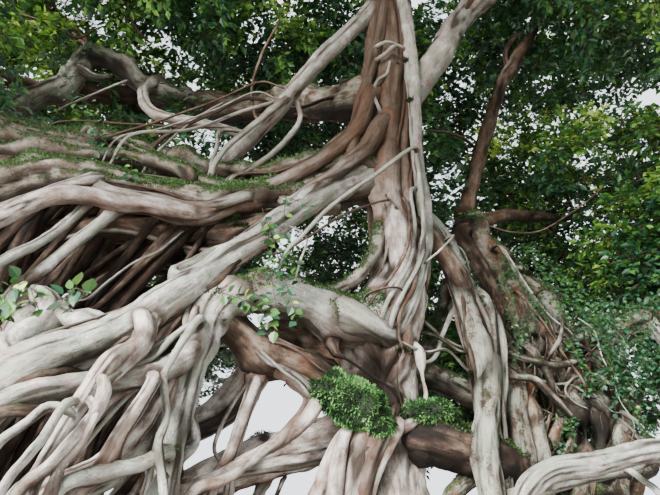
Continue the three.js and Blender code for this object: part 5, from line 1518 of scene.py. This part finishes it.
# A lumpy ellipsoid, its surface a function of turn and height, with closed poles
def mossBody(name, cushion):
    s, rings, sides = cushionRule, cushionRule["rings"], cushionRule["sides"]
    rise = math.pi * (np.arange(rings) + 0.5) / rings
    turn = 2 * math.pi * np.arange(sides) / sides
    sphere = np.stack([np.sin(rise)[:, None] * np.cos(turn), np.sin(rise)[:, None] * np.sin(turn),
        -np.cos(rise)[:, None] * np.ones(sides)], axis=-1)
    lump = 1 + s["broad"][0] * latticeNoise(sphere * s["broad"][1], 7) \
        + s["small"][0] * latticeNoise(sphere * s["small"][1], 8)
    local = sphere * np.array(cushion["size"]) * lump[..., None]
    cosine, sine = math.cos(cushion["tilt"]), math.sin(cushion["tilt"])
    turnedBy = np.array([[cosine, 0, -sine], [0, 1, 0], [sine, 0, cosine]])
    points = local @ turnedBy.T + seenAt([cushion["seen"]])[0][0]
    normals = unit((sphere / np.array(cushion["size"])) @ turnedBy.T).reshape(-1, 3)
    # the body's near black green is painted shade between the shoots
    meshPiece(name + "_body", withCaps(points), list(tubeFaces(rings, sides)), mossMaterials[0], "mossy_bark")
    flat = points.reshape(-1, 3)
    index = np.arange(cushion["shoots"])
    at = (chance(3.3, index) * len(flat)).astype(int)
    stray = (chances(5.1, index) - 0.5) * s["stray"]
    return flat[at] + stray - normals[at] * s["sunk"], normals[at] - np.array([0, 0, s["down"]])


mossParts, mossTints = [], []


# Grows shoots of one kind and keeps them with their tints
def growShoots(places, directions, kind, seed, tints):
    mossParts.append(shootsOn(places, directions, kind["length"], kind["width"], seed))
    mossTints.append(np.repeat(tints, 2))


for number, (name, cushion) in enumerate(mossCushions.items()):
    places, directions = mossBody(name, cushion)
    clump = latticeNoise(places / cushionRule["clump"], 5)
    clump = clump + 0.5 * (chance(number, np.arange(len(places))) - 0.5)
    growShoots(places, directions, mossShoot, number + 11,
        np.array([1, 3, 4])[np.digitize(clump, [-0.2, 0.2])])
s = matShoot
for number, (ground, normals, share, valley) in enumerate(mossGround):
    patch = latticeNoise(ground / s["patch"], 3) + 0.5 * latticeNoise(ground / s["patch"] * s["finer"], 4)
    grown = s["facing"] * normals[:, 2] + s["patchShare"] * patch \
        + s["valley"] * np.minimum(valley, 1) > s["needed"] - share
    chosen = np.repeat(np.nonzero(grown & (ground[:, 2] > s["from"]))[0], s["each"])
    index = np.arange(len(chosen))
    stray = (chances(number + 6.1, index) - 0.5) * s["stray"]
    growShoots(ground[chosen] + stray - normals[chosen] * s["sunk"],
        normals[chosen] * 0.8 + np.array([0, -0.15, 0.25]), s, number + 71,
        1 + np.digitize(chance(number + 81, index) + 0.25 * patch[chosen], [0.35, 0.85]))
for number, (seen, spread, count) in enumerate(tufts):
    index = np.arange(count)
    offset = (chances(number, index, 3, 3.3) - 0.5) * 2
    places = seenAt([seen])[0][0] + offset * np.array([spread, spread * 0.6, spread * 0.22])
    gap = np.linalg.norm(places[:, None] - allWood, axis=2) - allWoodRadii
    nearest = gap.argmin(1)
    away = unit(places - allWood[nearest])
    places = allWood[nearest] + away * allWoodRadii[nearest][:, None] * 1.02
    growShoots(places, away * 0.7 + np.array([0, -0.5, 0.1]), tuftShoot, number + 31,
        np.digitize(chance(number + 51, index), [0.4, 0.8]))
points, faces = joined(mossParts)
moss = meshPiece("moss_shoots", points, [faces], mossMaterials, "leaves", False)
dealColours(moss, np.concatenate(mossTints))

# Leafy sprouts on the roots: the way of the stem, how many leaves, how long, how far they spread, their tone,
# which paints light and shade: lower is deeper green, higher is lighter
sprouts = [
    ([(262, 208, -0.85), (272, 236, -0.95), (280, 262, -1.05), (288, 290, -1.1), (298, 322, -1.1)], 34, 0.085,
        0, 1),
    ([(270, 222, -0.85), (268, 250, -1), (272, 280, -1.05), (276, 306, -1.1)], 26, 0.08, 0, 1),
    ([(286, 196, -0.8), (284, 226, -0.9), (292, 256, -1), (300, 282, -1.05)], 22, 0.075, 0, 1),
    ([(220, 292, -1.5), (238, 298, -1.5), (256, 306, -1.4), (276, 330, -1.35)], 20, 0.09, 0, 1),
    ([(250, 290, -1.2), (262, 300, -1.25), (270, 316, -1.25), (268, 334, -1.25)], 16, 0.085, 0, 1),
    ([(12, 318, -2.3), (4, 300, -2.4), (14, 286, -2.45), (24, 278, -2.5)], 14, 0.105, 0, 1),
    ([(40, 312, -2.25), (34, 298, -2.4), (30, 286, -2.45)], 10, 0.1, 0, 1),
    ([(72, 312, -2.15), (66, 298, -2.3), (76, 288, -2.35), (88, 296, -2.4)], 13, 0.1, 0, 1),
    ([(2, 330, -2.4), (-6, 312, -2.5), (6, 302, -2.55)], 9, 0.11, 0, 1),
    ([(56, 88, -0.3), (80, 108, -0.4), (92, 126, -0.5), (104, 140, -0.55), (120, 156, -0.6)], 30, 0.1, 0,
        0.8),
    ([(96, 118, -0.4), (100, 134, -0.5), (94, 150, -0.55), (88, 168, -0.6)], 18, 0.095, 0, 0.8),
    ([(126, 150, -0.5), (132, 164, -0.6), (128, 180, -0.7)], 10, 0.09, 0, 1),
    ([(280, 196, -0.7), (300, 202, -0.75), (314, 212, -0.8)], 9, 0.075, 0, 1),
    ([(462, 250, 0.1), (470, 280, 0.1), (480, 306, 0.1)], 60, 0.05, 0.1, 0.75),
    ([(20, 18, 1), (56, 34, 0.9), (84, 48, 0.9), (112, 40, 0.9)], 80, 0.075, 0.2, 0.75),
    ([(56, 62, 0.9), (72, 84, 0.7), (90, 112, 0.5), (100, 132, 0.3)], 60, 0.075, 0.16, 0.75),
    ([(668, 296, 0.3), (640, 306, 0.25), (612, 314, 0.25), (586, 332, 0.3)], 150, 0.056, 0.22, 0.6),
    ([(596, 318, 0.2), (604, 340, 0.2), (612, 366, 0.2), (618, 392, 0.25)], 140, 0.056, 0.2, 0.6),
    ([(656, 318, 0.2), (642, 342, 0.2), (644, 370, 0.2), (656, 396, 0.3)], 150, 0.056, 0.24, 0.6),
    ([(632, 312, 0.2), (626, 340, 0.15), (618, 362, 0.2), (598, 388, 0.3)], 140, 0.056, 0.2, 0.6),
    ([(668, 352, 0.3), (646, 364, 0.25), (630, 386, 0.25), (616, 404, 0.35)], 130, 0.056, 0.2, 0.6),
    ([(560, 292, 0.4), (576, 306, 0.3), (596, 318, 0.25), (616, 324, 0.25)], 110, 0.052, 0.18, 0.75),
    ([(606, 300, 0.6), (590, 312, 0.5), (574, 332, 0.4), (566, 350, 0.35)], 90, 0.05, 0.14, 0.75),
    ([(498, 254, 0.35), (514, 274, 0.25), (530, 294, 0.2), (546, 318, 0.2)], 110, 0.045, 0.12, 0.75),
    ([(536, 262, 0.6), (546, 280, 0.4), (556, 300, 0.3), (570, 324, 0.3)], 100, 0.048, 0.14, 0.75),
    ([(498, 268, 0.3), (506, 292, 0.2), (512, 318, 0.2), (522, 340, 0.2)], 90, 0.042, 0.1, 0.75),
    ([(540, 300, 0.3), (530, 316, 0.2), (522, 338, 0.2), (512, 362, 0.2)], 80, 0.042, 0.1, 0.75),
    ([(570, 340, 0.3), (580, 362, 0.25), (590, 380, 0.3), (584, 400, 0.4)], 90, 0.05, 0.12, 0.75),
    ([(520, 244, 0.9), (540, 256, 0.7), (560, 274, 0.6), (584, 292, 0.5)], 110, 0.05, 0.18, 0.8),
    ([(436, 232, 1.2), (440, 205, 1.4), (448, 180, 1.6), (452, 150, 1.8)], 300, 0.11, 0.55, 0.66),
    ([(432, 44, 1), (430, 20, 1.2), (438, -6, 1.4)], 180, 0.11, 0.45, 0.66),
    ([(56, -8, 1.6), (74, 14, 1.6), (98, 26, 1.6)], 240, 0.12, 0.55, 0.9),
    ([(118, 28, 2.2), (146, 44, 2.2), (170, 60, 2.2), (198, 76, 2.2)], 440, 0.13, 0.75, 1.15),
    ([(170, 100, 1.6), (186, 120, 1.4), (206, 144, 1.2)], 260, 0.11, 0.5, 0.7),
    ([(610, 346, 0.8), (622, 372, 0.8), (630, 400, 0.8)], 220, 0.08, 0.4, 0.66),
    ([(560, 410, 0.4), (572, 428, 0.35), (562, 450, 0.4)], 60, 0.045, 0.1, 0.7),
    ([(632, 400, 0.4), (640, 424, 0.35), (652, 440, 0.35)], 70, 0.05, 0.14, 0.72),
]
# A sprout's leaf: places along, across and above it as shares of its length, its ten triangles, and how it
# points beside the stem, faces and differs in length
sproutOutline = [(0, 0, 0), (0.16, 0.3, 0.05), (0.4, 0.43, 0.08), (0.7, 0.29, 0.05), (1, 0, -0.05),
    (0.7, -0.29, 0.05), (0.4, -0.43, 0.08), (0.16, -0.3, 0.05), (0.3, 0, -0.01), (0.65, 0, -0.02)]
sproutFaces = [(0, 8, 1), (1, 8, 2), (2, 8, 9), (2, 9, 3), (3, 9, 4), (4, 9, 5), (5, 9, 6), (6, 9, 8),
    (6, 8, 7), (7, 8, 0)]
sproutRule = {"along": 0.3, "hangs": (0, -0.35, -0.35), "random": 1.2, "faces": (-0.2, -0.8, 0.75),
    "facing": 0.9, "long": (0.65, 0.6), "stalk": 0.25, "stalkRadius": 0.0025, "stemRadii": (0.004, 0.002),
    "parts": [0.3, 0.62, 0.88, 0.96]}


# Ovate leaves in turn left and right of a stem, on stalks up to a spread long: ten triangles, folded along
# the midrib. A lower tone deals out deeper greens, as painted shade, and a higher one lighter greens, as
# painted light. Gives the stalks' ends too.
def sproutLeaves(way, count, length, spread, tone, seed):
    s = sproutRule
    index = np.arange(count)
    dice = chances(seed, index, 7, 1.7)
    places = curvePoints(way, (index + 0.6) / count)
    along = unit(curvePoints(way, np.minimum((index + 1.2) / count, 1)) - curvePoints(way, index / count))
    side = unit(np.cross(along, [0.1, -1.0, 0.2])) * np.where(index % 2, 1.0, -1.0)[:, None]
    direction = unit(side + along * s["along"] + np.array(s["hangs"]) + (dice[:, :3] - 0.5) * s["random"])
    facing = unit(np.array(s["faces"]) + (dice[:, 3:6] - 0.5) * s["facing"])
    across = unit(np.cross(direction, facing))
    normal = np.cross(across, direction)
    size = length * dealt(s["long"], dice[:, 6])[:, None]
    stray = unit(dice[:, :3] - 0.5) * spread * chance(seed + 13, index)[:, None]
    roots = places + direction * size * s["stalk"] + stray
    corners = np.stack([roots + size * (direction * l + across * w + normal * h)
        for l, w, h in sproutOutline], axis=1)
    base = index[:, None] * len(sproutOutline)
    faces = np.concatenate([base + list(f) for f in sproutFaces], axis=1).reshape(-1, 3)
    tints = np.digitize(chance(seed + 17, index) * tone, s["parts"])
    return corners.reshape(-1, 3), faces, np.repeat(tints, len(sproutFaces)), places, roots


grown = [sproutLeaves(seenAt(seen)[0], count, length, spread, tone, number + 3)
    for number, (seen, count, length, spread, tone) in enumerate(sprouts)]
points, faces = joined([one[:2] for one in grown])
tints, stalkStarts, stalkEnds = (np.concatenate([one[part] for one in grown]) for part in (2, 3, 4))
dealColours(meshPiece("sprout_leaves", points, [faces], leafMaterials, "leaves", False), tints)
points, faces = twigSticks(stalkStarts, stalkEnds, sproutRule["stalkRadius"])
meshPiece("sprout_stalks", points, [faces], leafMaterials[2], "leaves", False)
joinedTubes("sprout_stems", [seenAt(sprout[0])[0] for sprout in sprouts],
    [sproutRule["stemRadii"]] * len(sprouts), 5, 0.04)
print("moss and sprouts made")


# Floor, light and camera

# Painted studio floor: matt and pale, so that the eye has a plain ground and sees the tree's shadow on it
stage = {"half": 60, "floor": "#c9c8c4", "sky": "#e8eff5", "skyLights": 0.9, "skyBrighter": 1.9}
half = stage["half"]
floor = bpy.data.meshes.new("floor")
floor.from_pydata([(-half, -half, 0), (half, -half, 0), (half, half, 0), (-half, half, 0)], [],
    [(0, 1, 2, 3)])
floorPiece = bpy.data.objects.new("floor", floor)
bpy.context.scene.collection.objects.link(floorPiece)
floor.materials.append(makePlain("paleFloor", stage["floor"], 0.9, 0.2))

world = bpy.data.worlds.new("softStudio")
bpy.context.scene.world = world
world.use_nodes = True
background = world.node_tree.nodes["Background"]
background.inputs["Color"].default_value = linearOf(stage["sky"])
# the sky is brighter to look at than to light by, as a studio backdrop is
seenByCamera = addNode(world.node_tree, "ShaderNodeLightPath").outputs["Is Camera Ray"]
strength = multiplyAdd(world.node_tree, seenByCamera, stage["skyBrighter"], stage["skyLights"])
world.node_tree.links.new(strength, background.inputs["Strength"])


# A soft light at a place, turned to a target
def addLight(name, kind, place, target, energy, size, colour):
    light = bpy.data.lights.new(name, kind)
    light.energy = energy
    light.color = linearOf(colour)[:3]
    if kind == "AREA":
        light.size = size
    else:
        light.angle = size
    holder = bpy.data.objects.new(name, light)
    holder.location = place
    direction = np.array(target) - np.array(place)
    holder.rotation_euler = (math.acos(-direction[2] / np.linalg.norm(direction)), 0,
        math.atan2(direction[1], direction[0]) - math.pi / 2)
    bpy.context.scene.collection.objects.link(holder)


# each light: its place, what it looks at, its strength, its size in metres or its angle, and its colour
addLight("softKey", "AREA", (-6.5, -9.0, 6.0), (-0.8, 0, 4.0), 2600, 4.0, "#fffaf4")
addLight("softSun", "SUN", (-4, -9, 9), (0, 0, 3), 8.5, math.radians(10), "#fffaf2")
addLight("highSun", "SUN", (-6, 3, 16), (0, 0, 3), 5, math.radians(12), "#fff8ea")

# The photograph is taken from the ground close by, looking up
camera = bpy.data.cameras.new("camera")
camera.sensor_width = 36
camera.lens = camera.sensor_width * photograph["focal"] / photograph["size"][0]
camera.clip_end = 500
cameraHolder = bpy.data.objects.new("camera", camera)
cameraHolder.location = photograph["eye"]
cameraHolder.rotation_euler = (math.pi / 2 + photograph["tilt"], 0, 0)
bpy.context.scene.collection.objects.link(cameraHolder)
bpy.context.scene.camera = cameraHolder
print("stage made")
